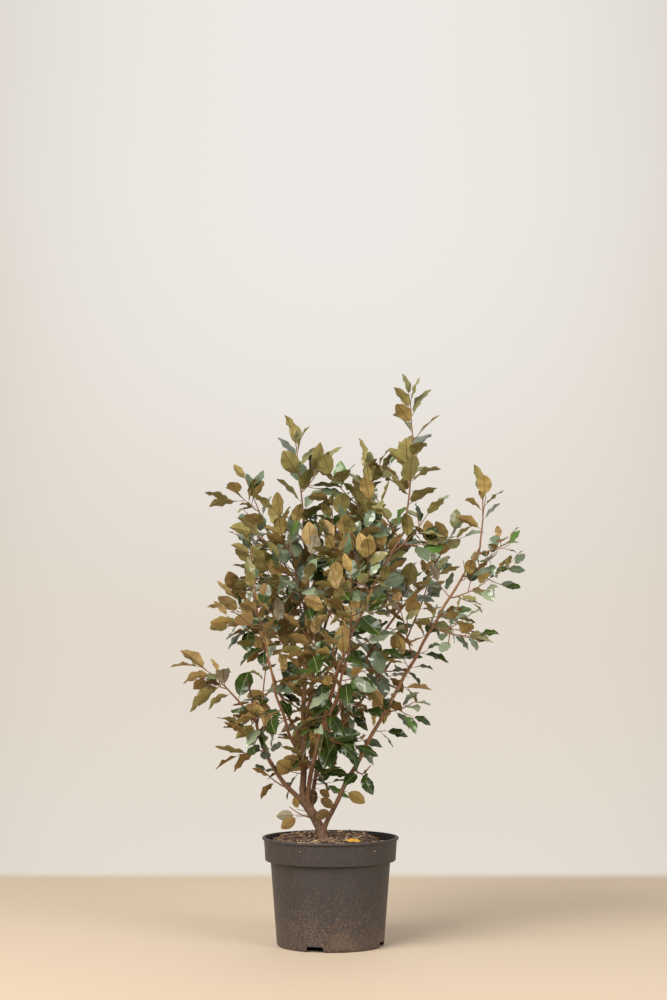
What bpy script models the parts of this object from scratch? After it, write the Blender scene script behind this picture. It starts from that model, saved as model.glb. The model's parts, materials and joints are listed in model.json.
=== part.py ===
"""A potted elaeagnus: an evergreen garden shrub on a short forked trunk, in a round nursery pot.

Metres, +Z up. The origin is the middle of the pot's flat underside. The front of the shrub faces -Y.
Each limb is one tapering solid, and each spray of foliage is one solid: a stem, its twigs and its leaves.
"""

import math
import random
from typing import NamedTuple

import bmesh
import bpy
from mathutils import Matrix, Quaternion, Vector
from mathutils.bvhtree import BVHTree
from mathutils.kdtree import KDTree

# Gap that keeps one solid clear of the next, and the distance within which corners are one
CLEAR = 0.0003
WELD = 0.0000011

# The pot: a 7.5 litre round container, 260 mm across and 205 mm tall
POT_HEIGHT = 0.205
LIP_RADIUS = 0.131
LIP_HEIGHT = 0.0035
BAND_TOP_RADIUS = 0.1275
BAND_FOOT_RADIUS = 0.1255
BAND_HEIGHT = 0.043
STEP_HEIGHT = 0.006
BODY_TOP_RADIUS = 0.1145
BODY_FOOT_RADIUS = 0.1025
FOOT_ROUNDING = 0.005
LIP_BEVEL_SHARE = 1.6
POT_WALL = 0.0022
TURNED_STEPS = 32

# Drain notches in the pot's foot, the first one at the front and a little to the left
NOTCH_COUNT = 4
NOTCH_HEADING = math.radians(255)
NOTCH_WIDTH = 0.038
NOTCH_TOP_SHARE = 0.82
NOTCH_HEIGHT = 0.0105
NOTCH_DEPTH = 0.012

# The compost, heaped a little at the trunk and cut back behind the drain notches
SOIL_HEAP_HEIGHT = 0.198
SOIL_HEAP_RADIUS = 0.034
SOIL_RIM_HEIGHT = 0.187
SOIL_CHAMFER = 0.018

# The trunk, from a flat cut on the compost to its fork
TRUNK_FOOT = Vector((-0.0135, 0.0, SOIL_HEAP_HEIGHT + CLEAR))
TRUNK_BEND = Vector((-0.0205, 0.0, 0.233))
TRUNK_TIP = Vector((-0.054, 0.003, 0.276))
TRUNK_RADIUS = 0.0093
TRUNK_TIP_RADIUS = 0.0084
FLARE_RADIUS = 0.0135
FLARE_HEIGHT = 0.012

# A bough starts square to its carrier for this share of its foot radius
COLLAR_SHARE = 1.1

# Facets and rings, and the widest angle between two faces that is shaded smooth
SMOOTH_UP_TO = math.radians(62)
TRUNK_SIDES = 10
BOUGH_SIDES = 6
TWIG_SIDES = 3
TRUNK_RINGS = 8
BOUGH_RINGS = 8
STEM_RINGS = 3
TWIG_RINGS = 2

# Twigs: a three-sided twig is drawn thicker than life, so that its flats are as wide as the round one
STEM_FOOT_RADIUS = 0.0027
STEM_TIP_RADIUS = 0.0017
TWIG_FOOT_RADIUS = 0.0020
TWIG_TIP_RADIUS = 0.0014
TWIG_SPACING = 0.038
MOST_TWIGS = 3
TWIG_SPREAD = math.radians(48)
TWIG_LONGEST = 0.52
TWIG_SHORTENING = 0.22
TWIG_FIRST_SHARE = 0.22
TWIG_LAST_SHARE = 0.74
TWIG_LIFT = 0.10
SPRAY_SAG = 0.14
SEATING_ROUNDS = 4
EDGE_STEPS = 12

# Leaves: set round each twig by the golden angle, fewer than in life and about two fifths longer
LEAF_TURN = math.radians(137.5)
LEAF_SPACING = 0.028
LEAF_LENGTH = 0.069
SHORTEST_LEAF = 0.82
LONGEST_LEAF = 1.12
LEAF_WIDTH_SHARE = 0.56
LEAF_THICKNESS = 0.0015
LEAF_FIRST_SPREAD = math.radians(70)
LEAF_LAST_SPREAD = math.radians(42)
LEAF_ROLL = math.radians(32)
LEAF_NOD = 0.35
LEAF_UPTURN = 0.6
END_LEAF_SHARE = 0.985
END_LEAF_SPREAD = math.radians(14)
LEADER_LEAF_SCALE = 0.90
LEAF_ROOT_DEPTH = 0.0004
LEAF_CLEAR = 0.0016
TWIG_CLEAR = 0.0022
POT_CLEAR = 0.006

# Above this height a leader is a single shoot with no side twigs
SINGLE_SHOOT_HEIGHT = 0.87

# The height where leaves are held level: higher ones reach up a little, and lower ones hang
LEVEL_HEIGHT = 0.70
HANG_PER_METRE = 1.6
MOST_HANG = 0.55
MOST_RISE = 0.12

# Finishes, as linear colours
POT_COLOUR = (0.10, 0.078, 0.068)
POT_ROUGHNESS = 0.6
COMPOST_COLOUR = (0.13, 0.075, 0.045)
COMPOST_ROUGHNESS = 0.95
OLD_BARK_COLOUR = (0.15, 0.072, 0.031)
YOUNG_BARK_COLOUR = (0.21, 0.094, 0.03)
BARK_ROUGHNESS = 0.85
LOW_FOLIAGE_COLOUR = (0.06, 0.08, 0.03)
HIGH_FOLIAGE_COLOUR = (0.22, 0.17, 0.07)
LOW_FOLIAGE_HEIGHT = 0.40
HIGH_FOLIAGE_HEIGHT = 0.90
FOLIAGE_ROUGHNESS = 0.55

# Turns and shortenings tried in order for a leaf or a twig before it is skipped
TRIES = (
    (0.0, 1.0),
    (0.5, 1.0),
    (-0.5, 1.0),
    (1.1, 1.0),
    (-1.1, 1.0),
    (1.8, 0.95),
    (-1.8, 0.95),
    (2.6, 0.9),
    (0.0, 0.8),
)


class Shoot(NamedTuple):
    """Where a spray grows: its share along the limb, compass heading, rise in degrees and reach."""

    share: float
    heading: float
    rise: float
    reach: float


class Limb(NamedTuple):
    """One tapering bough: where it leaves its carrier, where it ends, how far it is bowed, and its sprays."""

    name: str
    carrier: str
    share: float
    tip: tuple
    bow: tuple
    foot_radius: float
    tip_radius: float
    leaf_scale: float
    shoots: tuple


# A heading of 0 points along +X, 90 to the back, 270 to the front. A shoot at share 1 leads its limb.
TRUNK_SHOOT = Shoot(0.55, 200, 25, 0.057)
SPROUT_LEAF_SCALE = 0.7
LIMBS = (
    Limb(
        "right", "trunk", 0.20, (0.288, -0.020, 0.758), (-0.006, -0.014, 0.004), 0.0046, 0.0020, 0.84,
        (
            Shoot(0.22, 285, 0, 0.085),
            Shoot(0.42, 315, 15, 0.075),
            Shoot(0.60, 245, 55, 0.135),
            Shoot(0.72, 320, -10, 0.105),
            Shoot(0.82, 345, 25, 0.085),
            Shoot(0.90, 15, 12, 0.108),
            Shoot(0.98, 315, 15, 0.085),
            Shoot(1.0, 80, 80, 0.123),
        ),
    ),
    Limb(
        "low_left", "trunk", 0.93, (-0.141, -0.035, 0.423), (-0.013, -0.004, -0.012), 0.0050, 0.0028, 0.90,
        (
            Shoot(0.24, 140, 25, 0.070),
            Shoot(0.68, 220, 40, 0.075),
            Shoot(0.97, 325, 80, 0.150),
            Shoot(1.0, 185, 45, 0.155),
        ),
    ),
    Limb(
        "left", "trunk", 1.0, (-0.048, 0.050, 0.718), (0.001, 0.002, 0.0), 0.0064, 0.0024, 0.98,
        (
            Shoot(0.34, 160, 10, 0.085),
            Shoot(0.60, 190, 45, 0.155),
            Shoot(0.74, 105, 55, 0.190),
            Shoot(0.80, 250, 60, 0.190),
            Shoot(0.88, 173, 63, 0.267),
            Shoot(1.0, 185, 85, 0.262),
        ),
    ),
    Limb(
        "tall", "trunk", 0.89, (0.142, -0.040, 0.789), (-0.024, -0.032, 0.022), 0.0046, 0.0021, 0.98,
        (
            Shoot(0.24, 295, -10, 0.105),
            Shoot(0.40, 215, 20, 0.080),
            Shoot(0.52, 305, 20, 0.110),
            Shoot(0.74, 210, 65, 0.145),
            Shoot(0.90, 0, 48, 0.125),
            Shoot(0.97, 190, 62, 0.120),
            Shoot(1.0, 40, 87, 0.268),
        ),
    ),
    Limb(
        "middle", "left", 0.07, (0.030, 0.060, 0.718), (-0.022, 0.030, 0.0), 0.0042, 0.0021, 1.0,
        (
            Shoot(0.32, 90, -30, 0.080),
            Shoot(0.78, 355, 55, 0.205),
            Shoot(0.90, 260, 70, 0.175),
            Shoot(1.0, 350, 80, 0.215),
        ),
    ),
    Limb(
        "inner_right", "trunk", 0.74, (0.190, 0.110, 0.700), (-0.046, 0.024, 0.0), 0.0040, 0.0020, 0.98,
        (
            Shoot(0.30, 330, 0, 0.080),
            Shoot(0.62, 325, 0, 0.120),
            Shoot(0.84, 110, 80, 0.150),
            Shoot(1.0, 355, 60, 0.115),
        ),
    ),
    Limb(
        "front", "tall", 0.22, (0.035, -0.165, 0.560), (0.0, -0.022, -0.012), 0.0034, 0.0019, 1.0,
        (
            Shoot(0.46, 230, -45, 0.080),
            Shoot(0.82, 195, 45, 0.110),
            Shoot(1.0, 275, 75, 0.145),
        ),
    ),
    Limb(
        "front_left", "left", 0.14, (-0.118, -0.115, 0.560), (-0.008, -0.022, 0.0), 0.0034, 0.0019, 1.0,
        (
            Shoot(0.50, 215, -10, 0.075),
            Shoot(1.0, 205, 75, 0.135),
        ),
    ),
    Limb(
        "back_left", "left", 0.24, (-0.145, 0.130, 0.620), (-0.012, 0.016, 0.0), 0.0034, 0.0019, 1.0,
        (
            Shoot(0.50, 140, -45, 0.085),
            Shoot(0.92, 225, 50, 0.100),
            Shoot(1.0, 120, 78, 0.185),
        ),
    ),
    Limb(
        "back", "middle", 0.16, (0.030, 0.180, 0.610), (-0.004, 0.026, 0.0), 0.0034, 0.0019, 1.0,
        (
            Shoot(0.56, 40, -45, 0.110),
            Shoot(1.0, 45, 80, 0.180),
        ),
    ),
    Limb(
        "back_right", "inner_right", 0.26, (0.160, 0.205, 0.590), (0.004, 0.018, 0.0), 0.0032, 0.0018, 0.98,
        (
            Shoot(0.60, 75, -35, 0.085),
            Shoot(1.0, 20, 68, 0.155),
        ),
    ),
)


class Spray(NamedTuple):
    """One mass of foliage: the limb that bears it, how its stem grows, and the scale of its leaves."""

    name: str
    limb: str
    shoot: Shoot
    leaf_scale: float


def sprays():
    """Every mass of foliage, limb by limb: its side sprays, counted from its foot, and its leader."""
    found = [Spray("trunk_sprout", "trunk", TRUNK_SHOOT, SPROUT_LEAF_SCALE)]
    for limb in LIMBS:
        for number, shoot in enumerate(limb.shoots, 1):
            leads = shoot.share == 1.0
            name = f"{limb.name}_leader" if leads else f"{limb.name}_spray_{number}"
            scale = limb.leaf_scale * (LEADER_LEAF_SCALE if leads else 1.0)
            found.append(Spray(name, limb.name, shoot, scale))
    return found


class Stem:
    """A smooth tapering line from a foot to a tip. Limbs, the stems of sprays and twigs all follow one."""

    def __init__(self, foot, bend, tip, foot_radius, tip_radius, rings, seat=None):
        self.foot, self.bend, self.tip = Vector(foot), Vector(bend), Vector(tip)
        self.foot_radius, self.tip_radius = foot_radius, tip_radius
        self.rings = rings
        self.seat = seat

    def point(self, share):
        rest = 1 - share
        return rest * rest * self.foot + 2 * rest * share * self.bend + share * share * self.tip

    def tangent(self, share):
        along = (1 - share) * (self.bend - self.foot) + share * (self.tip - self.bend)
        return along.normalized()

    def radius(self, share):
        return self.foot_radius + (self.tip_radius - self.foot_radius) * share

    def facet(self, share):
        """A point at this share and the heading there, on the straight length between two rings."""
        k = min(int(share * self.rings), self.rings - 1)
        start, end = self.point(k / self.rings), self.point((k + 1) / self.rings)
        return start.lerp(end, share * self.rings - k), (end - start).normalized()

    def length(self, steps=12):
        points = [self.point(k / steps) for k in range(steps + 1)]
        return sum((b - a).length for a, b in zip(points, points[1:]))

    def spaced(self, spacing):
        """Shares of the stem's length, about this far apart, with both ends."""
        steps = max(2, round(self.length() / spacing))
        return [k / steps for k in range(steps + 1)]


def side_off(heading, along):
    """The unit vector square to a carrier on the side that a heading leaves it."""
    return (heading - along * heading.dot(along)).normalized()


def limb_on(carrier, limb):
    """A bough that sits square on its carrier, just clear of it, and then turns to its own heading."""
    anchor, along = carrier.facet(limb.share)
    tip = Vector(limb.tip)
    bend = (anchor + tip) / 2 + 2 * Vector(limb.bow)
    if limb.share == 1.0:
        away, reach = along, CLEAR
    else:
        away, reach = side_off(bend - anchor, along), carrier.radius(limb.share) + CLEAR
    seat = anchor + away * reach
    foot = seat + away * (COLLAR_SHARE * limb.foot_radius)
    return Stem(foot, bend, tip, limb.foot_radius, limb.tip_radius, BOUGH_RINGS, seat)


def spray_stem_on(limb, shoot):
    """The main stem of a spray, which bends up to the light, and the way it leaves its limb."""
    anchor, along = limb.facet(shoot.share)
    turn, rise = math.radians(shoot.heading), math.radians(shoot.rise)
    flat = math.cos(rise)
    tip = anchor + shoot.reach * Vector((flat * math.cos(turn), flat * math.sin(turn), math.sin(rise)))
    sag = 0.0 if shoot.share == 1.0 else SPRAY_SAG * shoot.reach
    bend = (anchor + tip) / 2 - Vector((0, 0, sag))
    if shoot.share == 1.0:
        away, reach = along, STEM_FOOT_RADIUS
    else:
        away, reach = side_off(bend - anchor, along), limb.radius(shoot.share) + STEM_FOOT_RADIUS
    foot = anchor + away * (reach + CLEAR)
    return Stem(foot, bend, tip, STEM_FOOT_RADIUS, STEM_TIP_RADIUS, STEM_RINGS), away


def edge_points(made):
    """Points spaced along every edge of a solid."""
    corners = [corner.co for corner in made.data.vertices]
    ends = [(corners[line.vertices[0]], corners[line.vertices[1]]) for line in made.data.edges]
    return [start.lerp(end, k / EDGE_STEPS) for start, end in ends for k in range(EDGE_STEPS + 1)]


def gap_between(one, other):
    """The least distance from the edges of either solid to the faces of the other."""
    pairs = (one, solid_tree(other)), (other, solid_tree(one))
    return min(tree.find_nearest(point)[3] for made, tree in pairs for point in edge_points(made))


def seated(stem, away, carrier, section, collection):
    """The stem with its foot slid back until it is just clear of the solid that carries it."""
    for _ in range(SEATING_ROUNDS):
        trial = stem_tube("trial", stem, section, collection)
        gap = gap_between(trial, carrier)
        bpy.data.objects.remove(trial)
        stem.foot -= away * (gap - CLEAR)
    return stem


def trunk_radius(height):
    """The trunk's radius at a height above its foot, wider at the root flare."""
    flare = max(0.0, 1 - height / FLARE_HEIGHT)
    share = min(1.0, height / (TRUNK_TIP.z - TRUNK_FOOT.z))
    plain = TRUNK_RADIUS + (TRUNK_TIP_RADIUS - TRUNK_RADIUS) * share
    return plain + (FLARE_RADIUS - TRUNK_RADIUS) * flare * flare


def limb_lines():
    """The line that each limb follows, by name, the trunk first."""
    lines = {"trunk": Stem(TRUNK_FOOT, TRUNK_BEND, TRUNK_TIP, TRUNK_RADIUS, TRUNK_TIP_RADIUS, TRUNK_RINGS)}
    for limb in LIMBS:
        lines[limb.name] = limb_on(lines[limb.carrier], limb)
    return lines


class Space:
    """Shares the crown out: a spray owns the points nearer to its stem than to any other, off every limb."""

    SAMPLE = 0.008
    LIMB_SAMPLE = 0.004
    NEIGHBOURS = 60

    def __init__(self, limbs, sprays, solids):
        self.limb_points = [
            (stem.point(s), stem.radius(s)) for stem in limbs.values() for s in stem.spaced(self.LIMB_SAMPLE)
        ]
        self.limb_tree = self.tree([point for point, _ in self.limb_points])
        self.solids = [solid_tree(made) for made in solids]
        self.owners, points = [], []
        for name, stem in sprays.items():
            for share in stem.spaced(self.SAMPLE):
                self.owners.append(name)
                points.append(stem.point(share))
        self.stem_tree = self.tree(points)

    def crossed(self, tree):
        """True if something crosses a finished solid."""
        return any(tree.overlap(solid) for solid in self.solids)

    @staticmethod
    def tree(points):
        tree = KDTree(len(points))
        for index, point in enumerate(points):
            tree.insert(point, index)
        tree.balance()
        return tree

    def owned(self, name, point, margin):
        """True if the point is nearer to the named spray's stem than to any other, by twice the margin."""
        mine, other = None, None
        for _, index, distance in self.stem_tree.find_n(point, self.NEIGHBOURS):
            if self.owners[index] == name:
                mine = distance if mine is None else mine
            else:
                other = distance if other is None else other
        return mine is not None and (other is None or other - mine > 2 * margin)

    def off_limbs(self, point, margin):
        _, index, distance = self.limb_tree.find(point)
        return distance > self.limb_points[index][1] + margin

    def holds(self, name, points, margin):
        """True if every point is the spray's own, clear of each limb and clear of the pot."""
        floor = POT_HEIGHT + POT_CLEAR
        return all(
            point.z > floor and self.off_limbs(point, margin) and self.owned(name, point, margin)
            for point in points
        )


def sideways(along, heading):
    """A unit vector square to a direction, turned about it by a heading."""
    side = along.cross(Vector((0, 0, 1)))
    if side.length < 0.05:
        side = along.cross(Vector((1, 0, 0)))
    return Quaternion(along, heading) @ side.normalized()


def solid_tree(made):
    """A tree of a finished solid's faces, which finds what crosses it or how far off it is."""
    corners = [corner.co for corner in made.data.vertices]
    return BVHTree.FromPolygons(corners, [face.vertices for face in made.data.polygons])


def sleeve(stem):
    """A three-sided sleeve round a stem, as something that other growth could cross."""
    corners = [
        stem.point(k / 8) + sideways(stem.tangent(k / 8), math.tau * j / 3) * stem.foot_radius
        for k in range(9)
        for j in range(3)
    ]
    faces = [(k, k + 1 - 3 * (k % 3 == 2), k + 4 - 3 * (k % 3 == 2), k + 3) for k in range(24)]
    return BVHTree.FromPolygons(corners, faces)


def twigs_of(spray, stem, space):
    """The twigs of a spray, set round its stem by a seeded rule. One that leaves the space is skipped."""
    draw = random.Random(spray.name + " twigs")
    heading = draw.uniform(0, math.tau)
    reach = stem.length()
    count = min(MOST_TWIGS, round(reach / TWIG_SPACING))
    twigs = []
    for k in range(count):
        heading += LEAF_TURN
        place = (k + draw.uniform(0.3, 0.7)) / count
        share = TWIG_FIRST_SHARE + (TWIG_LAST_SHARE - TWIG_FIRST_SHARE) * place
        spread = TWIG_SPREAD * draw.uniform(0.85, 1.15)
        length = reach * (TWIG_LONGEST - TWIG_SHORTENING * place) * draw.uniform(0.9, 1.1)
        if stem.point(share).z > SINGLE_SHOOT_HEIGHT:
            break
        for turn, shrink in TRIES:
            twig = twig_on(stem, share, heading + turn, spread, length * shrink)
            places = [twig.point(s / 6) for s in range(2, 7)]
            if space.holds(spray.name, places, TWIG_CLEAR) and not space.crossed(sleeve(twig)):
                twigs.append(twig)
                break
    return twigs


def twig_on(stem, share, heading, spread, length):
    """A twig rooted on the stem's own line, leaning off it and bending up towards its tip."""
    along = stem.tangent(share)
    lean = along * math.cos(spread) + sideways(along, heading) * math.sin(spread)
    foot = stem.point(share)
    tip = foot + lean * length
    bend = (foot + tip) / 2 - Vector((0, 0, TWIG_LIFT * length))
    return Stem(foot, bend, tip, TWIG_FOOT_RADIUS, TWIG_TIP_RADIUS, TWIG_RINGS)


class Leaf(NamedTuple):
    """One leaf: its root on the twig, the way it points, the way its upper face looks, and its length."""

    root: Vector
    points: Vector
    faces: Vector
    length: float

    def place(self):
        """The matrix that sets the blank leaf, one unit long, wide and thick, in its place."""
        side = self.faces.cross(self.points)
        turn = Matrix((self.points, side, self.faces)).transposed().to_4x4()
        size = Matrix.Diagonal((self.length, self.length * LEAF_WIDTH_SHARE, LEAF_THICKNESS, 1))
        return Matrix.Translation(self.root) @ turn @ size


class Growth:
    """What has grown in one spray so far, against which each new leaf is tried."""

    BARE_SHARE = 0.14

    def __init__(self, stems, blank):
        self.trees = [sleeve(stem) for stem in stems]
        self.corners = [corner.co.copy() for corner in blank.vertices]
        self.faces = [tuple(face.vertices) for face in blank.polygons]

    def solid(self, leaf, bare):
        """A leaf beyond a bare share of its length: its corners, and a tree that finds what it crosses."""
        place = leaf.place()
        corners = [place @ Vector((bare + (1 - bare) * c.x, c.y, c.z)) for c in self.corners]
        return corners, BVHTree.FromPolygons(corners, self.faces)

    def take(self, leaf, name, space):
        """Adds the leaf and says True if it keeps to the spray's space and crosses nothing grown before."""
        corners, whole = self.solid(leaf, 0.0)
        middles = [(a + b) / 2 for a, b in zip(corners, corners[1:])]
        if not space.holds(name, corners + middles, LEAF_CLEAR) or space.crossed(whole):
            return False
        _, blade = self.solid(leaf, self.BARE_SHARE)
        if any(blade.overlap(other) for other in self.trees):
            return False
        self.trees.append(blade)
        return True


def leaf_on(stem, share, heading, spread, length, nod, roll):
    """A leaf on a stem: it leans off by its spread, hangs low in the crown and reaches up at the top."""
    along = stem.tangent(share)
    root = stem.point(share)
    points = along * math.cos(spread) + sideways(along, heading) * math.sin(spread)
    hang = max(-MOST_RISE, min(MOST_HANG, (LEVEL_HEIGHT - root.z) * HANG_PER_METRE))
    points = (points - Vector((0, 0, hang + nod))).normalized()
    light = along * LEAF_UPTURN + Vector((0, 0, 1))
    faces = (light - points * light.dot(points)).normalized()
    return Leaf(root - points * LEAF_ROOT_DEPTH, points, Quaternion(points, roll) @ faces, length)


def leaves_of(spray, stems, space, blank):
    """The leaves on a spray's stem and twigs, by a seeded rule. One that would leave the space is skipped."""
    draw = random.Random(spray.name + " leaves")
    heading = draw.uniform(0, math.tau)
    growth = Growth(stems, blank)
    leaves = []
    for stem in stems:
        count = max(1, round(stem.length() / LEAF_SPACING))
        for k in range(1, count + 1):
            heading += LEAF_TURN
            share = k / count
            spread = LEAF_FIRST_SPREAD + (LEAF_LAST_SPREAD - LEAF_FIRST_SPREAD) * share
            length = LEAF_LENGTH * spray.leaf_scale * draw.uniform(SHORTEST_LEAF, LONGEST_LEAF)
            nod = LEAF_NOD * draw.uniform(-1, 1)
            roll = LEAF_ROLL * draw.uniform(-1, 1)
            if k == count:
                share, spread = END_LEAF_SHARE, END_LEAF_SPREAD
            for turn, shrink in TRIES:
                leaf = leaf_on(stem, share, heading + turn, spread, length * shrink, nod, roll)
                if growth.take(leaf, spray.name, space):
                    leaves.append(leaf)
                    break
    return leaves


def clear_scene():
    for old in list(bpy.data.objects):
        bpy.data.objects.remove(old)


def new_collection(name, shown=True):
    collection = bpy.data.collections.new(name)
    bpy.context.scene.collection.children.link(collection)
    collection.hide_render = not shown
    return collection


def material(name, colour, roughness):
    made = bpy.data.materials.new(name)
    made.use_nodes = True
    shader = made.node_tree.nodes["Principled BSDF"]
    shader.inputs["Base Color"].default_value = (*colour, 1)
    shader.inputs["Roughness"].default_value = roughness
    shader.inputs["Metallic"].default_value = 0.0
    return made


def add_object(name, data, collection, finish=None):
    made = bpy.data.objects.new(name, data)
    collection.objects.link(made)
    if finish is not None:
        data.materials.append(finish)
    return made


def hide_guide(guide):
    guide.hide_render = True
    guide.display_type = "WIRE"


def section_guide(name, sides, collection):
    """A flat ring of the given number of sides and radius 1, which a tube's curve carries along its line."""
    curve = bpy.data.curves.new(name, "CURVE")
    curve.dimensions = "2D"
    spline = curve.splines.new("POLY")
    spline.points.add(sides - 1)
    for k, point in enumerate(spline.points):
        angle = math.tau * k / sides
        point.co = (math.cos(angle), math.sin(angle), 0, 1)
    spline.use_cyclic_u = True
    guide = add_object(name, curve, collection)
    hide_guide(guide)
    return guide


def meshed(source, collection):
    """A closed mesh object in place of a curve or of an object with modifiers. The source is removed."""
    bpy.context.view_layer.update()
    graph = bpy.context.evaluated_depsgraph_get()
    mesh = bpy.data.meshes.new_from_object(source.evaluated_get(graph))
    name, place = source.name, source.matrix_world.copy()
    bpy.data.objects.remove(source)
    made = add_object(name, mesh, collection)
    made.matrix_world = place
    return made


def closed_up(made):
    """Welds a mesh's caps to its sides, points its faces outwards and shades its round sides smooth."""
    shape = bmesh.new()
    shape.from_mesh(made.data)
    bmesh.ops.remove_doubles(shape, verts=shape.verts, dist=WELD)
    bmesh.ops.recalc_face_normals(shape, faces=shape.faces)
    shape.to_mesh(made.data)
    shape.free()
    made.data.shade_smooth()
    made.data.set_sharp_from_angle(angle=SMOOTH_UP_TO)
    return made


def tube(name, points, radii, section, collection):
    """A closed tapering tube along a line of points."""
    curve = bpy.data.curves.new(name, "CURVE")
    curve.dimensions = "3D"
    curve.bevel_mode = "OBJECT"
    curve.bevel_object = section
    curve.use_fill_caps = True
    spline = curve.splines.new("POLY")
    spline.points.add(len(points) - 1)
    for place, point, radius in zip(spline.points, points, radii):
        place.co = (*point, 1)
        place.radius = radius
    return closed_up(meshed(add_object(name, curve, collection), collection))


def stem_tube(name, stem, section, collection):
    shares = [k / stem.rings for k in range(stem.rings + 1)]
    points = [stem.point(s) for s in shares]
    radii = [stem.radius(s) for s in shares]
    if stem.seat is not None:
        points.insert(0, stem.seat)
        radii.insert(0, stem.foot_radius)
    return tube(name, points, radii, section, collection)


def turned(name, profile, collection, finish):
    """A closed body turned about +Z from a profile of (radius, height) that runs down its outer side."""
    mesh = bpy.data.meshes.new(name)
    edges = [(k, k + 1) for k in range(len(profile) - 1)]
    mesh.from_pydata([(radius, 0, height) for radius, height in profile], edges, [])
    made = add_object(name, mesh, collection, finish)
    screw = made.modifiers.new("turn", "SCREW")
    screw.angle = math.tau
    screw.steps = screw.render_steps = TURNED_STEPS
    screw.use_smooth_shade = True
    screw.use_merge_vertices = True
    screw.merge_threshold = 0.00005
    return made


def wall_radius(height):
    """The pot body's outer radius at a height below its step."""
    top = POT_HEIGHT - BAND_HEIGHT - STEP_HEIGHT
    return BODY_FOOT_RADIUS + (BODY_TOP_RADIUS - BODY_FOOT_RADIUS) * height / top


def make_pot(parts, cutters):
    """The pot's shell: a tapering body, a step out to the wide band, and a small turned lip."""
    band_foot = POT_HEIGHT - BAND_HEIGHT
    step_foot = band_foot - STEP_HEIGHT
    profile = (
        (0, POT_WALL),
        (BODY_FOOT_RADIUS - POT_WALL, POT_WALL),
        (BODY_TOP_RADIUS - POT_WALL, step_foot),
        (BAND_FOOT_RADIUS - POT_WALL, band_foot + POT_WALL / 2),
        (BAND_TOP_RADIUS - POT_WALL, POT_HEIGHT),
        (LIP_RADIUS, POT_HEIGHT),
        (LIP_RADIUS, POT_HEIGHT - LIP_HEIGHT),
        (BAND_TOP_RADIUS, POT_HEIGHT - LIP_BEVEL_SHARE * LIP_HEIGHT),
        (BAND_FOOT_RADIUS, band_foot),
        (BODY_TOP_RADIUS, step_foot - POT_WALL / 2),
        (BODY_FOOT_RADIUS, FOOT_ROUNDING),
        (BODY_FOOT_RADIUS - 0.3 * FOOT_ROUNDING, 0.3 * FOOT_ROUNDING),
        (BODY_FOOT_RADIUS - FOOT_ROUNDING, 0),
        (0, 0),
    )
    pot = turned("pot", profile, parts, material("pot", POT_COLOUR, POT_ROUGHNESS))
    for k in range(NOTCH_COUNT):
        notch = notch_cutter(f"drain_notch_{k + 1}", NOTCH_HEADING + math.tau * k / NOTCH_COUNT, cutters)
        cut = pot.modifiers.new(notch.name, "BOOLEAN")
        cut.operation = "DIFFERENCE"
        cut.object = notch
    return pot


def notch_cutter(name, heading, cutters):
    """A tapered block across the pot's foot, wider at its base."""
    overshoot = 0.01
    mesh = bpy.data.meshes.new(name)
    shape = bmesh.new()
    bmesh.ops.create_cube(shape, size=1)
    depth, height = NOTCH_DEPTH + overshoot, NOTCH_HEIGHT + overshoot
    for corner in shape.verts:
        corner.co = (corner.co.x * depth, corner.co.y * NOTCH_WIDTH, (corner.co.z + 0.5) * height - overshoot)
        if corner.co.z > 0:
            corner.co.y *= NOTCH_TOP_SHARE
    shape.to_mesh(mesh)
    shape.free()
    notch = add_object(name, mesh, cutters)
    middle = BODY_FOOT_RADIUS + (overshoot - NOTCH_DEPTH) / 2
    notch.matrix_world = Matrix.Rotation(heading, 4, "Z") @ Matrix.Translation((middle, 0, 0))
    hide_guide(notch)
    return notch


def make_soil(parts):
    """The compost that fills the pot, clear of its walls, heaped a little round the trunk's flat seat."""
    band_foot = POT_HEIGHT - BAND_HEIGHT
    step_foot = band_foot - STEP_HEIGHT
    floor = POT_WALL + CLEAR
    inset = POT_WALL + 2 * CLEAR
    low = wall_radius(SOIL_CHAMFER) - inset
    profile = (
        (0, SOIL_HEAP_HEIGHT),
        (SOIL_HEAP_RADIUS, SOIL_HEAP_HEIGHT),
        (0.6 * BAND_TOP_RADIUS, (SOIL_HEAP_HEIGHT + SOIL_RIM_HEIGHT) / 2),
        (BAND_FOOT_RADIUS - inset, SOIL_RIM_HEIGHT),
        (BAND_FOOT_RADIUS - inset, band_foot + POT_WALL / 2 + CLEAR),
        (BODY_TOP_RADIUS - inset, step_foot + CLEAR),
        (low, SOIL_CHAMFER),
        (low - SOIL_CHAMFER, floor),
        (0, floor),
    )
    return turned("soil", profile, parts, material("soil", COMPOST_COLOUR, COMPOST_ROUGHNESS))


def make_trunk(line, section, parts):
    """The trunk, with its foot cut flat where it stands on the compost and flared above that."""
    flare_rings = [FLARE_HEIGHT * k / 5 for k in range(3)]
    points = [line.foot + Vector((0, 0, height)) for height in flare_rings]
    points += [line.point(k / TRUNK_RINGS) for k in range(1, TRUNK_RINGS + 1)]
    radii = [trunk_radius(point.z - line.foot.z) for point in points]
    trunk = tube("trunk", points, radii, section, parts)
    trunk.data.materials.append(material("trunk", OLD_BARK_COLOUR, BARK_ROUGHNESS))
    return trunk


def make_bough(name, line, section, parts):
    """A bough, redder the thinner and younger it is."""
    bough = stem_tube(name + "_bough", line, section, parts)
    age = min(1.0, line.foot_radius / TRUNK_RADIUS)
    colour = Vector(YOUNG_BARK_COLOUR).lerp(Vector(OLD_BARK_COLOUR), age)
    bough.data.materials.append(material(bough.name, colour, BARK_ROUGHNESS))
    return bough


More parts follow.
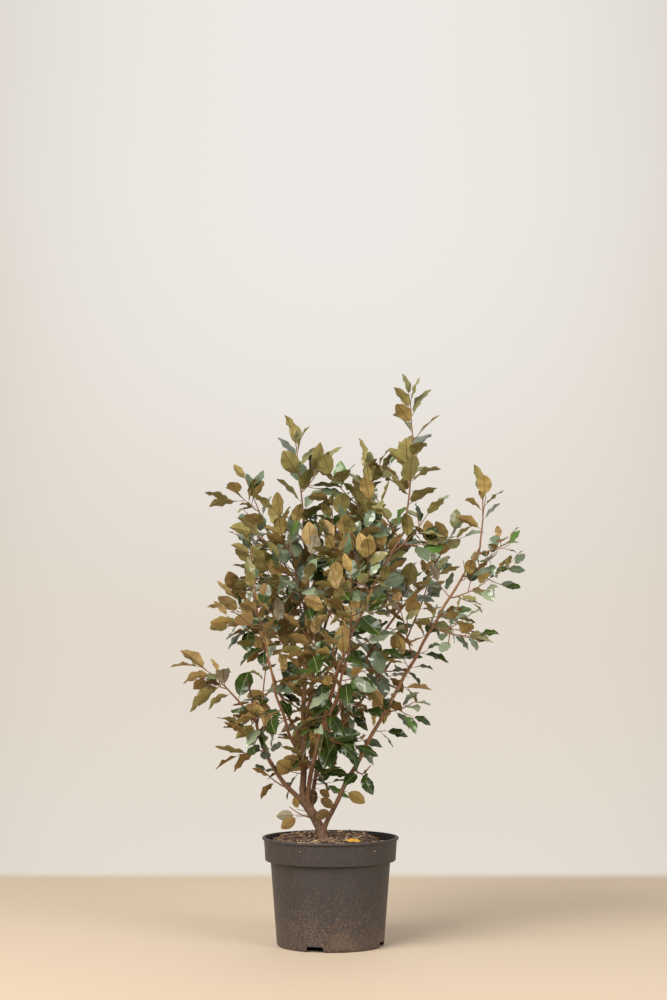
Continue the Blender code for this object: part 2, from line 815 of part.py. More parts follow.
def leaf_blank():
    """A leaf of length, width and thickness 1: a twelve-faced lens from its root at the origin to its tip."""
    thickest, widest, shoulder, shoulder_reach = 0.45, 0.36, 0.70, 0.44
    mesh = bpy.data.meshes.new("leaf_blank")
    shape = bmesh.new()
    quarter_turn = Matrix.Rotation(math.pi / 2, 4, "Z")
    bmesh.ops.create_uvsphere(shape, u_segments=6, v_segments=2, radius=0.5, matrix=quarter_turn)
    for corner in shape.verts:
        if abs(corner.co.z) > 0.1:
            corner.co.x = thickest
        elif abs(corner.co.y) < 0.1:
            corner.co.x += 0.5
        elif corner.co.x < 0:
            corner.co = (widest, math.copysign(0.5, corner.co.y), 0)
        else:
            corner.co = (shoulder, math.copysign(shoulder_reach, corner.co.y), 0)
    shape.to_mesh(mesh)
    shape.free()
    return mesh


def leaf_object(name, leaf, blank, collection):
    """One leaf solid, set on its root."""
    made = add_object(name, blank, collection)
    made.matrix_world = leaf.place()
    return made


def tidied(mesh):
    """Keeps the largest shell of a joined mesh, without scraps or sealed hollows. True if it is closed."""
    shape = bmesh.new()
    shape.from_mesh(mesh)
    bmesh.ops.remove_doubles(shape, verts=shape.verts, dist=WELD)
    bmesh.ops.triangulate(shape, faces=shape.faces)
    left, shells = set(shape.faces), []
    while left:
        shell, edge = set(), [left.pop()]
        while edge:
            face = edge.pop()
            shell.add(face)
            beside = {other for line in face.edges for other in line.link_faces} & left
            left -= beside
            edge.extend(beside)
        shells.append(shell)
    keep = max(shells, key=len)
    loose = [face for face in shape.faces if face not in keep]
    bmesh.ops.delete(shape, geom=loose, context="FACES")
    closed = all(len(line.link_faces) == 2 for line in shape.edges)
    shape.to_mesh(mesh)
    shape.free()
    return closed


def union(base, others, solver):
    """The mesh of the base joined with a whole collection."""
    join = base.modifiers.new("join", "BOOLEAN")
    join.operation = "UNION"
    join.operand_type = "COLLECTION"
    join.collection = others
    join.solver = solver
    bpy.context.view_layer.update()
    graph = bpy.context.evaluated_depsgraph_get()
    mesh = bpy.data.meshes.new_from_object(base.evaluated_get(graph))
    base.modifiers.remove(join)
    return mesh


def closed_union(base, others):
    """The joined mesh if one of the solvers closes it, or else nothing."""
    for solver in ("EXACT", "MANIFOLD"):
        mesh = union(base, others, solver)
        if tidied(mesh):
            return mesh
        bpy.data.meshes.remove(mesh)
    return None


def fused(base, others, parts):
    """One closed solid from a stem, its twigs and its leaves. A join that fails is retried a leaf short."""
    pieces = list(others.objects)
    mesh = closed_union(base, others)
    for piece in reversed(pieces):
        if mesh is not None:
            break
        others.objects.unlink(piece)
        mesh = closed_union(base, others)
        others.objects.link(piece)
    name = base.name
    for old in [base, *pieces]:
        bpy.data.objects.remove(old)
    bpy.data.collections.remove(others)
    return add_object(name, mesh, parts)


def foliage_finish(name, height):
    """A spray's colour: dark green low in the crown, and bronzed by the young leaves at its top."""
    share = min(1.0, max(0.0, (height - LOW_FOLIAGE_HEIGHT) / (HIGH_FOLIAGE_HEIGHT - LOW_FOLIAGE_HEIGHT)))
    colour = Vector(LOW_FOLIAGE_COLOUR).lerp(Vector(HIGH_FOLIAGE_COLOUR), share)
    return material(name, colour, FOLIAGE_ROUGHNESS)


def make_spray(spray, stem, space, blank, section, parts):
    """One mass of foliage: its stem, twigs and leaves joined into one solid."""
    twigs = twigs_of(spray, stem, space)
    leaves = leaves_of(spray, [stem, *twigs], space, blank)
    growing = new_collection(spray.name + "_pieces")
    base = stem_tube(spray.name, stem, section, parts)
    for k, twig in enumerate(twigs):
        stem_tube(f"{spray.name}_twig_{k}", twig, section, growing)
    for k, leaf in enumerate(leaves):
        leaf_object(f"{spray.name}_leaf_{k}", leaf, blank, growing)
    mass = fused(base, growing, parts)
    space.solids.append(solid_tree(mass))
    mass.data.materials.clear()
    mass.data.materials.append(foliage_finish(spray.name, stem.tip.z))


def main():
    clear_scene()
    parts = new_collection("potted_elaeagnus")
    guides = new_collection("guides", shown=False)
    trunk_section = section_guide("trunk_section", TRUNK_SIDES, guides)
    bough_section = section_guide("bough_section", BOUGH_SIDES, guides)
    twig_section = section_guide("twig_section", TWIG_SIDES, guides)

    make_pot(parts, guides)
    make_soil(parts)

    lines = limb_lines()
    wood = {"trunk": make_trunk(lines["trunk"], trunk_section, parts)}
    for limb in LIMBS:
        wood[limb.name] = make_bough(limb.name, lines[limb.name], bough_section, parts)

    masses, stems = sprays(), {}
    for spray in masses:
        stem, away = spray_stem_on(lines[spray.limb], spray.shoot)
        stems[spray.name] = seated(stem, away, wood[spray.limb], twig_section, guides)

    space = Space(lines, stems, wood.values())
    blank = leaf_blank()
    for spray in masses:
        make_spray(spray, stems[spray.name], space, blank, twig_section, parts)
    bpy.data.meshes.remove(blank)


main()
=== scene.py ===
"""The looks of a potted elaeagnus: its pot, compost, bark, twigs and leaves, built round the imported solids.

Metres, +Z up. The origin is the middle of the pot's underside, and the front of the shrub faces -Y.
"""

import json
import logging
import math
import random
from dataclasses import dataclass, field
from enum import IntEnum
from itertools import product
from typing import Any, Callable, Iterator, Sequence

import bmesh
import bpy
from bmesh.types import BMesh, BMVert
from bpy.types import ColorRamp, Material, Mesh, Node, NodeSocket, NodeTree, Object
from mathutils import Matrix, Quaternion, Vector, noise
from mathutils.bvhtree import BVHTree

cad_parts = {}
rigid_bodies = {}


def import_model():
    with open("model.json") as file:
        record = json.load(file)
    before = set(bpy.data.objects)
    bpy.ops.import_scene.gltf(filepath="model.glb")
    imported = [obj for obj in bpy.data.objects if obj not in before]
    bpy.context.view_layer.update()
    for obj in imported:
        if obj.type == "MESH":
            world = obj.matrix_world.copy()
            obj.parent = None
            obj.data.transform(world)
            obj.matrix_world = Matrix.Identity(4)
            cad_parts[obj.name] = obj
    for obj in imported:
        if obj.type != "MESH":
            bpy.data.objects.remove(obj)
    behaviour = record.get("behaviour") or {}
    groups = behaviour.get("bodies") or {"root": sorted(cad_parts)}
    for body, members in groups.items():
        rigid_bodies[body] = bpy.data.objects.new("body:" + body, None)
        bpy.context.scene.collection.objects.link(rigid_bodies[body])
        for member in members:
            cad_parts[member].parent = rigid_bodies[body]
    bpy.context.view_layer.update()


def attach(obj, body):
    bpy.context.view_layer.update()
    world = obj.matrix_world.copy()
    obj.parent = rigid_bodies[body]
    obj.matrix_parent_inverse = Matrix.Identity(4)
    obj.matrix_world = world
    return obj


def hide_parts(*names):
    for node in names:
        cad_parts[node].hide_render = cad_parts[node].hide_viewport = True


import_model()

LOG = logging.getLogger("potted_elaeagnus")
BODY = "root"
UP = Vector((0.0, 0.0, 1.0))
NEARLY_UPRIGHT = 0.05
MERGE_DISTANCE = 0.00002
Pair = tuple[float, float]
Triple = tuple[float, float, float]
Colour = tuple[float, float, float]
Course = tuple[list[Vector], list[float]]


# Shader and geometry node maths


def written(operation: str, swapped: bool = False) -> Callable[["Signal", Any], "Signal"]:
    """Makes the method of an operator, which adds one Math node.

    Args:
        operation: The node's operation.
        swapped: Whether the signal comes second, as in a reflected form.

    Returns:
        The method.
    """

    def operator(self: "Signal", other: Any) -> "Signal":
        """Adds the Math node."""
        first, second = (other, self) if swapped else (self, other)
        return self.graph.add("ShaderNodeMath", {"operation": operation}, {0: first, 1: second})

    return operator


@dataclass(eq=False)
class Signal:
    """An output socket of a node tree, on which sums, products and comparisons can be written."""

    graph: "Graph"
    node: Node
    socket: NodeSocket | None

    __add__ = written("ADD")
    __radd__ = written("ADD", swapped=True)
    __sub__ = written("SUBTRACT")
    __rsub__ = written("SUBTRACT", swapped=True)
    __mul__ = written("MULTIPLY")
    __rmul__ = written("MULTIPLY", swapped=True)
    __truediv__ = written("DIVIDE")
    __rtruediv__ = written("DIVIDE", swapped=True)
    __pow__ = written("POWER")
    __rpow__ = written("POWER", swapped=True)
    __gt__ = written("GREATER_THAN")
    __lt__ = written("LESS_THAN")

    def out(self, name: str) -> "Signal":
        """Another output of the same node, by its name."""
        return Signal(self.graph, self.node, self.node.outputs[name])

    def eased(self, low: float, high: float) -> "Signal":
        """0 at low and 1 at high, with a smooth step between them."""
        sockets = {"Value": self, "From Min": low, "From Max": high}
        return self.graph.add("ShaderNodeMapRange", {"interpolation_type": "SMOOTHSTEP"}, sockets)


@dataclass(eq=False)
class Graph:
    """A node tree that grows by calls."""

    tree: NodeTree

    def add(self, kind: str, settings: dict[str, Any], sockets: dict[Any, Any], output: Any = 0) -> Signal:
        """Adds a node.

        Args:
            kind: The node's type.
            settings: The node's own settings, set before its sockets. "stops" are a ramp's stops.
            sockets: Values or signals for its inputs, by name, identifier or number.
            output: The name or number of the output that the result stands for.

        Returns:
            The node's output.
        """
        node = self.tree.nodes.new(kind)
        for name, value in settings.items():
            if name == "stops":
                self._set_stops(node.color_ramp, value)
            else:
                setattr(node, name, value)
        self.feed(node, sockets)
        return Signal(self, node, self._socket(node.outputs, output) if len(node.outputs) else None)

    @staticmethod
    def _set_stops(ramp: ColorRamp, stops: Sequence[tuple[float, Colour]]) -> None:
        """Gives a colour ramp its stops.

        Args:
            ramp: The ramp.
            stops: The place and colour of each stop.
        """
        while len(ramp.elements) < len(stops):
            ramp.elements.new(1.0)
        for element, (place, colour) in zip(ramp.elements, stops):
            element.position = place
            element.color = (*colour, 1.0)

    @staticmethod
    def _socket(sockets: Any, key: Any) -> NodeSocket:
        """Finds one of a node's inputs or outputs by its number, identifier or name."""
        exact = [socket for socket in sockets if socket.identifier == key]
        return exact[0] if exact else sockets[key]

    def feed(self, node: Node, sockets: dict[Any, Any]) -> None:
        """Links signals to a node's inputs, or sets their values.

        Args:
            node: The node.
            sockets: A signal, number, vector or colour for each input, by name, identifier or number.
        """
        for key, value in sockets.items():
            socket = self._socket(node.inputs, key)
            if isinstance(value, Signal):
                self.tree.links.new(value.socket, socket)
            elif socket.type == "RGBA" and len(value) == 3:
                socket.default_value = (*value, 1.0)
            else:
                socket.default_value = value

    def mix(self, first: Any, second: Any, share: Any) -> Signal:
        """The first colour at share 0 and the second at share 1."""
        sockets = {"Factor_Float": share, "A_Color": first, "B_Color": second}
        return self.add("ShaderNodeMix", {"data_type": "RGBA"}, sockets, "Result_Color")

    def tinted(self, colour: Any, factor: Any) -> Signal:
        """A colour made lighter or darker by a factor."""
        return self.add("ShaderNodeVectorMath", {"operation": "SCALE"}, {0: colour, "Scale": factor})

    def part(self, vector: Signal, axis: str) -> Signal:
        """One part of a vector: X, Y or Z."""
        return self.add("ShaderNodeSeparateXYZ", {}, {0: vector}, axis)

    def chance(self, grains: Signal, channel: str) -> Signal:
        """A random share for each grain: the Red, Green or Blue of its colour."""
        return self.add("ShaderNodeSeparateColor", {}, {0: grains.out("Color")}, channel)

    def place(self) -> Signal:
        """The point on the piece, in metres."""
        return self.add("ShaderNodeTexCoord", {}, {}, "Object")

    def stretched(self, vector: Signal, scale: Triple) -> Signal:
        """A vector scaled along each axis."""
        return self.add("ShaderNodeMapping", {}, {"Vector": vector, "Scale": scale})

    def noise(self, vector: Signal, scale: float, detail: float = 2.0, roughness: float = 0.5) -> Signal:
        """Soft noise about 0.5, with this many features a metre."""
        sockets = {"Vector": vector, "Scale": scale, "Detail": detail, "Roughness": roughness}
        return self.add("ShaderNodeTexNoise", {}, sockets, "Fac")

    def grains(self, vector: Signal, scale: float) -> Signal:
        """The distance from the nearest of many scattered grains. Its Color is random for each one."""
        return self.add("ShaderNodeTexVoronoi", {}, {"Vector": vector, "Scale": scale}, "Distance")

    def relief(self, height: Signal, depth: float, strength: float = 1.0) -> Signal:
        """A normal that is bumped by a height signal times a depth in metres."""
        return self.add("ShaderNodeBump", {}, {"Height": height, "Distance": depth, "Strength": strength})


# Finishes


@dataclass(frozen=True)
class Finish:
    """A finish of one colour and gloss, which the others build on."""

    name: str
    colour: Colour
    roughness: float

    def material(self) -> Material:
        """Makes the Blender material.

        Returns:
            A material with one Principled shader.
        """
        made = bpy.data.materials.new(self.name)
        made.use_nodes = True
        made.diffuse_color = (*self.colour, 1.0)
        graph = Graph(made.node_tree)
        shader = made.node_tree.nodes["Principled BSDF"]
        graph.feed(shader, {"Base Color": self.colour, "Roughness": self.roughness})
        self.dress(graph, shader)
        return made

    def dress(self, graph: Graph, shader: Node) -> None:
        """Adds what varies over the surface. A plain finish adds nothing."""


@dataclass(frozen=True)
class Scurfy(Finish):
    """Leaf skin, with faint mottling and the fine scales that these leaves have."""

    coat: float = 0.0
    shine: float = 0.18
    mottling: float = 0.40
    scales: float = 0.22
    mottles_per_metre: float = 110.0
    scales_per_metre: float = 1300.0
    depth: float = 0.0006
    gloss_range: float = 0.16
    coat_roughness: float = 0.09

    def dress(self, graph: Graph, shader: Node) -> None:
        """Adds the mottling, the scales and the waxy coat.

        Args:
            graph: The material's nodes.
            shader: Its Principled shader.
        """
        place = graph.place()
        cloud = graph.noise(place, self.mottles_per_metre, 3.0, 0.6)
        fine = graph.noise(place, self.scales_per_metre, 2.0, 0.6)
        shade = 1 - self.mottling / 2 - self.scales / 2 + cloud * self.mottling + fine * self.scales
        base = graph.tinted(self.colour, shade)
        bump = graph.relief(cloud * 2.0 + fine * 0.2, self.depth, 0.5)
        roughness = self.roughness - self.gloss_range / 2 + cloud * self.gloss_range
        graph.feed(shader, {"Base Color": base, "Roughness": roughness, "Normal": bump})
        graph.feed(shader, {"Coat Weight": self.coat, "Coat Roughness": self.coat_roughness})
        graph.feed(shader, {"Specular IOR Level": self.shine})


@dataclass(frozen=True)
class MouldedPlastic(Finish):
    """Recycled dark plastic: faint scuffs, pale dust specks, and rusty stains towards the foot."""

    speck_colour: Colour = (0.170, 0.150, 0.135)
    rust_colour: Colour = (0.260, 0.150, 0.085)
    foot_paleness: float = 1.25
    clean_height: float = 0.162
    clouds_per_metre: float = 28.0
    scuffs_per_metre: float = 420.0
    grains_per_metre: float = 1400.0
    depth: float = 0.00022
    dust_per_metre: float = 600.0
    dust_size: float = 0.32
    dust_rarity: float = 0.82
    rust_per_metre: float = 500.0
    rust_size: float = 0.34
    rust_rarity: float = 1.08
    gloss_range: float = 0.14

    def dress(self, graph: Graph, shader: Node) -> None:
        """Adds the specks, stains and scuffs.

        Args:
            graph: The material's nodes.
            shader: Its Principled shader.
        """
        place = graph.place()
        foot = tuple(self.foot_paleness * part for part in self.colour)
        low = 1.0 - graph.part(place, "Z").eased(0.0, self.clean_height)
        cloud = graph.noise(place, self.clouds_per_metre, 4.0, 0.6)
        scuff = graph.noise(graph.stretched(place, (1.0, 1.0, 0.12)), self.scuffs_per_metre, 3.0, 0.6)
        base = graph.mix(self.colour, foot, low * (0.35 + cloud * 0.8))
        base = graph.tinted(base, 0.84 + cloud * 0.2 + scuff * 0.12)
        dust = graph.grains(place, self.dust_per_metre)
        dusty = graph.chance(dust, "Red") + low * 0.10
        dust_mask = (dust < self.dust_size) * (dusty > self.dust_rarity)
        rust = graph.grains(place, self.rust_per_metre)
        rusty = graph.chance(rust, "Green") + (low**2.0) * 0.66 + cloud * 0.2
        rust_mask = (rust < self.rust_size) * (rusty > self.rust_rarity)
        stain = (low**5.0) * (cloud.eased(0.40, 0.70)) * 0.18
        base = graph.mix(base, self.rust_colour, stain)
        base = graph.mix(base, self.speck_colour, dust_mask * 0.5)
        base = graph.mix(base, self.rust_colour, rust_mask * 0.8)
        grain = graph.noise(place, self.grains_per_metre, 2.0)
        bump = graph.relief(grain + scuff * 0.6 + cloud * 1.5, self.depth, 0.7)
        roughness = self.roughness - 0.06 + cloud * self.gloss_range + rust_mask * 0.2
        graph.feed(shader, {"Base Color": base, "Roughness": roughness, "Normal": bump})


@dataclass(frozen=True)
class Crumb(Finish):
    """Moist compost: dark crumbs with paler fibres between them."""

    fibre_colour: Colour
    crumbs_per_metre: float = 330.0
    patches_per_metre: float = 70.0
    fibres_per_metre: float = 900.0
    depth: float = 0.0016

    def dress(self, graph: Graph, shader: Node) -> None:
        """Adds the crumbs and fibres.

        Args:
            graph: The material's nodes.
            shader: Its Principled shader.
        """
        place = graph.place()
        crumbs = graph.grains(place, self.crumbs_per_metre)
        patch = graph.noise(place, self.patches_per_metre, 4.0, 0.65)
        fine = graph.noise(place, self.fibres_per_metre, 3.0, 0.7)
        base = graph.mix(self.colour, self.fibre_colour, fine.eased(0.55, 0.75) * 0.6)
        base = graph.tinted(base, 0.45 + patch * 0.9 + crumbs * 0.5)
        bump = graph.relief(crumbs + fine * 0.5, self.depth, 0.9)
        graph.feed(shader, {"Base Color": base, "Normal": bump})


@dataclass(frozen=True)
class Wood(Finish):
    """Bark or split wood: lengthwise streaks, patches and small pale pores, and older near the foot."""

    streak_colour: Colour
    pore_colour: Colour
    streaks_per_metre: float
    depth: float
    age: float = 0.0
    old_height: float = 0.27
    young_height: float = 0.50
    patches_per_metre: float = 45.0
    pores_per_metre: float = 520.0
    pore_size: float = 0.24
    pore_rarity: float = 0.72

    def dress(self, graph: Graph, shader: Node) -> None:
        """Adds the streaks, patches and pores, and greys the older wood.

        Args:
            graph: The material's nodes.
            shader: Its Principled shader.
        """
        place = graph.place()
        streak = graph.noise(graph.stretched(place, (1.0, 1.0, 0.16)), self.streaks_per_metre, 4.0, 0.65)
        patch = graph.noise(place, self.patches_per_metre, 3.0, 0.6)
        pore = graph.grains(place, self.pores_per_metre)
        pores = (pore < self.pore_size) * (graph.chance(pore, "Red") > self.pore_rarity)
        aged = (1 - graph.part(place, "Z").eased(self.old_height, self.young_height)) * self.age
        base = graph.mix(self.colour, self.streak_colour, streak.eased(0.42, 0.66))
        base = graph.tinted(base, 0.68 + patch * 0.62)
        base = graph.mix(base, self.streak_colour, aged)
        base = graph.mix(base, self.pore_colour, pores * 0.55)
        bump = graph.relief(streak + patch * 0.5 + pores * 0.3, self.depth, 0.9)
        graph.feed(shader, {"Base Color": base, "Normal": bump})


@dataclass(frozen=True)
class Sweep(Finish):
    """The studio floor, which fades into the backdrop away from the pot."""

    fade_from: float
    fade_to: float

    def dress(self, graph: Graph, shader: Node) -> None:
        """Fades the floor out with distance.

        Args:
            graph: The material's nodes.
            shader: Its Principled shader.
        """
        outward = graph.add("ShaderNodeVectorMath", {"operation": "ABSOLUTE"}, {0: graph.place()})
        sides = graph.part(outward, "X")
        reach = graph.add("ShaderNodeMath", {"operation": "MAXIMUM"}, {0: sides, 1: sides.out("Y")})
        clear = graph.add("ShaderNodeBsdfTransparent", {}, {})
        fade = reach.eased(self.fade_from, self.fade_to)
        mixed = graph.add("ShaderNodeMixShader", {}, {0: fade, 2: clear})
        graph.tree.links.new(shader.outputs[0], mixed.node.inputs[1])
        output = graph.tree.nodes["Material Output"]
        graph.tree.links.new(mixed.socket, output.inputs["Surface"])


def materials(finishes: Sequence[Finish]) -> list[Material]:
    """Makes the material of each finish."""
    return [finish.material() for finish in finishes]


class Upper(IntEnum):
    """Tints of a leaf's upper face, in the order of UPPER_FINISHES."""

    DARK = 0
    SILVER = 1
    TEAL = 2
    FRESH = 3
    BRONZE = 4


class Under(IntEnum):
    """Tints of a leaf's underside, in the order of UNDER_FINISHES."""

    TAN = 0
    AMBER = 1
    OLIVE = 2
    SHADE = 3
    PALE = 4
    # A darker copy of the brown underside: painted shade for leaves that hang in shade.
    DUSK = 5


UPPER_FINISHES = (
    Scurfy("leaf_dark_green", (0.021, 0.040, 0.004), 0.36, coat=0.38, shine=0.22),
    Scurfy("leaf_silver_green", (0.185, 0.225, 0.140), 0.42, coat=0.6, shine=0.32),
    Scurfy("leaf_grey_green", (0.084, 0.116, 0.064), 0.38, coat=0.9, shine=0.30),
    Scurfy("leaf_fresh_green", (0.060, 0.125, 0.020), 0.38, coat=0.4, shine=0.4),
    Scurfy("leaf_bronze", (0.185, 0.168, 0.058), 0.44, coat=0.3, shine=0.4),
)
UNDER_FINISHES = (
    Scurfy("underside_tan", (0.340, 0.236, 0.080), 0.58),
    Scurfy("underside_amber", (0.378, 0.262, 0.110), 0.60),
    Scurfy("underside_olive", (0.250, 0.208, 0.070), 0.54),
    Scurfy("underside_brown", (0.205, 0.130, 0.040), 0.62),
    Scurfy("underside_pale", (0.290, 0.250, 0.172), 0.56),
    # Painted shade: the brown underside darkened, for leaves that hang in shade.
    Scurfy("underside_dusk", (0.112, 0.068, 0.022), 0.62),
)
PLASTICS = (
    MouldedPlastic("pot_plastic", (0.0285, 0.0222, 0.0200), 0.50),
    # The same plastic darkened to near black: painted shade for the pot's inner walls.
    MouldedPlastic("pot_inside", (0.009, 0.0070, 0.0065), 0.50),
)
RIB_FINISHES = (
    Scurfy("midrib_pale", (0.150, 0.180, 0.075), 0.50),
    Scurfy("midrib_red_brown", (0.125, 0.052, 0.020), 0.60),
    Scurfy("leaf_stalk", (0.200, 0.095, 0.036), 0.60),
)
COMPOST = Crumb("compost", (0.040, 0.024, 0.016), 0.92, (0.160, 0.095, 0.050))
CRUMBS = (
    Crumb("crumb_dark", (0.030, 0.018, 0.013), 0.94, (0.090, 0.054, 0.032)),
    Crumb("crumb_brown", (0.120, 0.066, 0.035), 0.94, (0.200, 0.120, 0.066)),
)
CHIP_PORES = (0.300, 0.220, 0.140)
CHIPS = (
    Wood("mulch_brown", (0.150, 0.080, 0.040), 0.90, (0.080, 0.042, 0.022), CHIP_PORES, 700.0, 0.0008),
    Wood("mulch_tan", (0.360, 0.235, 0.135), 0.90, (0.200, 0.118, 0.062), CHIP_PORES, 700.0, 0.0008),
    Wood("mulch_dark", (0.034, 0.020, 0.014), 0.92, (0.070, 0.042, 0.026), CHIP_PORES, 700.0, 0.0008),
)
STRAW_PORES = (0.480, 0.360, 0.210)
STRAWS = (
    Wood("straw_pale", (0.520, 0.385, 0.230), 0.80, (0.380, 0.250, 0.130), STRAW_PORES, 900.0, 0.0004),
    Wood("straw_brown", (0.200, 0.115, 0.055), 0.85, (0.120, 0.065, 0.030), STRAW_PORES, 900.0, 0.0004),
)
TRUNK_BARK = Wood(
    "trunk_bark", (0.150, 0.080, 0.044), 0.86, (0.052, 0.026, 0.015), (0.320, 0.210, 0.130), 480.0, 0.0020
)
BOUGH_BARK = Wood(
    "bough_bark", (0.265, 0.124, 0.053), 0.80, (0.098, 0.050, 0.026), (0.360, 0.240, 0.140), 560.0, 0.0008,
    age=0.55,
)
TWIG_BARK = Wood(
    "twig_bark", (0.200, 0.085, 0.030), 0.66, (0.110, 0.045, 0.020), (0.340, 0.220, 0.120), 600.0, 0.0002
)
DEAD_BARK = Wood(
    "dead_bark", (0.070, 0.040, 0.026), 0.88, (0.040, 0.024, 0.017), (0.150, 0.105, 0.075), 620.0, 0.0007
)


# How the shrub grows, by the same rule and sizes as its solids


@dataclass(frozen=True)
class Shoot:
    """Where a spray grows: its share along the limb, its heading and rise in degrees, and its reach.

    Its leaves are its limb's times a scale, and it has none at 0. Its twigs may be fewer than six.
    """

    share: float
    heading: float
    rise: float
    reach: float
    leaf: float = 1.0
    twigs: int = 6

    def leads(self) -> bool:
        """Whether it goes on from its limb's tip."""
        return self.share == 1.0


@dataclass(frozen=True)
class Limb:
    """One tapering bough: where it leaves its carrier and ends, how far it is bowed, and its sprays."""

    name: str
    carrier: str
    share: float
    tip: Triple
    bow: Triple
    foot_radius: float
    tip_radius: float
    leaf_scale: float
    shoots: tuple[Shoot, ...]
    first_spur: float = 0.04


WANDER_SEED = 9
BOUGH_WANDER = 0.0035
BOUGH_SEED_STEP = 3.1
TRUNK_FOOT = Vector((-0.0135, 0.0, 0.1983))
TRUNK_BEND = Vector((-0.0205, 0.0, 0.233))
TRUNK_TIP = Vector((-0.054, 0.003, 0.276))
TRUNK_RADIUS = 0.0093
TRUNK_TIP_RADIUS = 0.0084
FLARE_RADIUS = 0.0135
FLARE_HEIGHT = 0.012
TRUNK_SHOOT = Shoot(0.55, 200, 25, 0.057, 0.0, 0)
SPROUT_LEAF_SCALE = 0.7
LEADER_LEAF_SCALE = 0.90
LIMBS = (
    Limb("right", "trunk", 0.20, (0.288, -0.020, 0.758), (-0.006, -0.014, 0.004), 0.0046, 0.0020, 0.84, (
        Shoot(0.22, 285, 0, 0.085, 1.05, 0),
        Shoot(0.42, 315, 15, 0.075, 1.1, 1),
        Shoot(0.60, 245, 55, 0.135, 1.0, 1),
        Shoot(0.72, 320, -10, 0.105, 1.0, 4),
        Shoot(0.82, 345, 25, 0.085, 0.9, 3),
        Shoot(0.90, 15, 12, 0.108, 0.8, 4),
        Shoot(0.98, 315, 15, 0.085, 0.85, 3),
        Shoot(1.0, 80, 80, 0.123, 1.35, 1),
    ), first_spur=0.30),
    Limb("low_left", "trunk", 0.93, (-0.141, -0.035, 0.423), (-0.013, -0.004, -0.012), 0.005, 0.0028, 0.9, (
        Shoot(0.24, 140, 25, 0.070, 0.8, 0),
        Shoot(0.68, 220, 40, 0.075, 1.15, 3),
        Shoot(0.97, 325, 80, 0.150, 1.15, 1),
        Shoot(1.0, 185, 45, 0.155, 1.4, 1),
    ), first_spur=0.62),
    Limb("left", "trunk", 1.0, (-0.048, 0.050, 0.718), (0.001, 0.002, 0.0), 0.0064, 0.0024, 0.98, (
        Shoot(0.34, 160, 10, 0.085, 1.0, 1),
        Shoot(0.60, 190, 45, 0.155, 1.0, 4),
        Shoot(0.74, 105, 55, 0.190),
        Shoot(0.80, 250, 60, 0.190),
        Shoot(0.88, 173, 63, 0.267, 1.05, 4),
        Shoot(1.0, 185, 85, 0.262, 1.4, 3),
    )),
    Limb("tall", "trunk", 0.89, (0.142, -0.040, 0.789), (-0.024, -0.032, 0.022), 0.0046, 0.0021, 0.98, (
        Shoot(0.24, 295, -10, 0.105, 1.1, 1),
        Shoot(0.40, 215, 20, 0.080, 1.1),
        Shoot(0.52, 305, 20, 0.110, 1.05, 2),
        Shoot(0.74, 210, 65, 0.145),
        Shoot(0.90, 0, 48, 0.125, 1.0, 2),
        Shoot(0.97, 190, 62, 0.120, 1.0, 2),
        Shoot(1.0, 40, 87, 0.268, 1.35, 3),
    )),
    Limb("middle", "left", 0.07, (0.030, 0.060, 0.718), (-0.022, 0.030, 0.0), 0.0042, 0.0021, 1.0, (
        Shoot(0.32, 90, -30, 0.080, 1.0, 4),
        Shoot(0.78, 355, 55, 0.205),
        Shoot(0.90, 260, 70, 0.175),
        Shoot(1.0, 350, 80, 0.215, 1.15, 4),
    )),
    Limb("inner_right", "trunk", 0.74, (0.190, 0.110, 0.700), (-0.046, 0.024, 0.0), 0.0040, 0.0020, 0.98, (
        Shoot(0.30, 330, 0, 0.080, 1.1, 0),
        Shoot(0.62, 325, 0, 0.120, 1.0, 1),
        Shoot(0.84, 110, 80, 0.150),
        Shoot(1.0, 355, 60, 0.115, 1.0, 2),
    )),
    Limb("front", "tall", 0.22, (0.035, -0.165, 0.560), (0.0, -0.022, -0.012), 0.0034, 0.0019, 1.0, (
        Shoot(0.46, 230, -45, 0.080),
        Shoot(0.82, 195, 45, 0.110),
        Shoot(1.0, 275, 75, 0.145),
    )),
    Limb("front_left", "left", 0.14, (-0.118, -0.115, 0.560), (-0.008, -0.022, 0.0), 0.0034, 0.0019, 1.0, (
        Shoot(0.50, 215, -10, 0.075, 1.0, 3),
        Shoot(1.0, 205, 75, 0.135, 1.0, 3),
    ), first_spur=0.97),
    Limb("back_left", "left", 0.24, (-0.145, 0.130, 0.620), (-0.012, 0.016, 0.0), 0.0034, 0.0019, 1.0, (
        Shoot(0.50, 140, -45, 0.085, 1.0, 2),
        Shoot(0.92, 225, 50, 0.100, 1.1, 4),
        Shoot(1.0, 120, 78, 0.185, 1.0, 2),
    ), first_spur=0.70),
    Limb("back", "middle", 0.16, (0.030, 0.180, 0.610), (-0.004, 0.026, 0.0), 0.0034, 0.0019, 1.0, (
        Shoot(0.56, 40, -45, 0.110),
        Shoot(1.0, 45, 80, 0.180),
    )),
    Limb("back_right", "inner_right", 0.26, (0.16, 0.205, 0.59), (0.004, 0.018, 0), 0.0032, 0.0018, 0.98, (
        Shoot(0.60, 75, -35, 0.085, 1.0, 2),
        Shoot(1.0, 20, 68, 0.155, 1.0, 4),
    )),
)


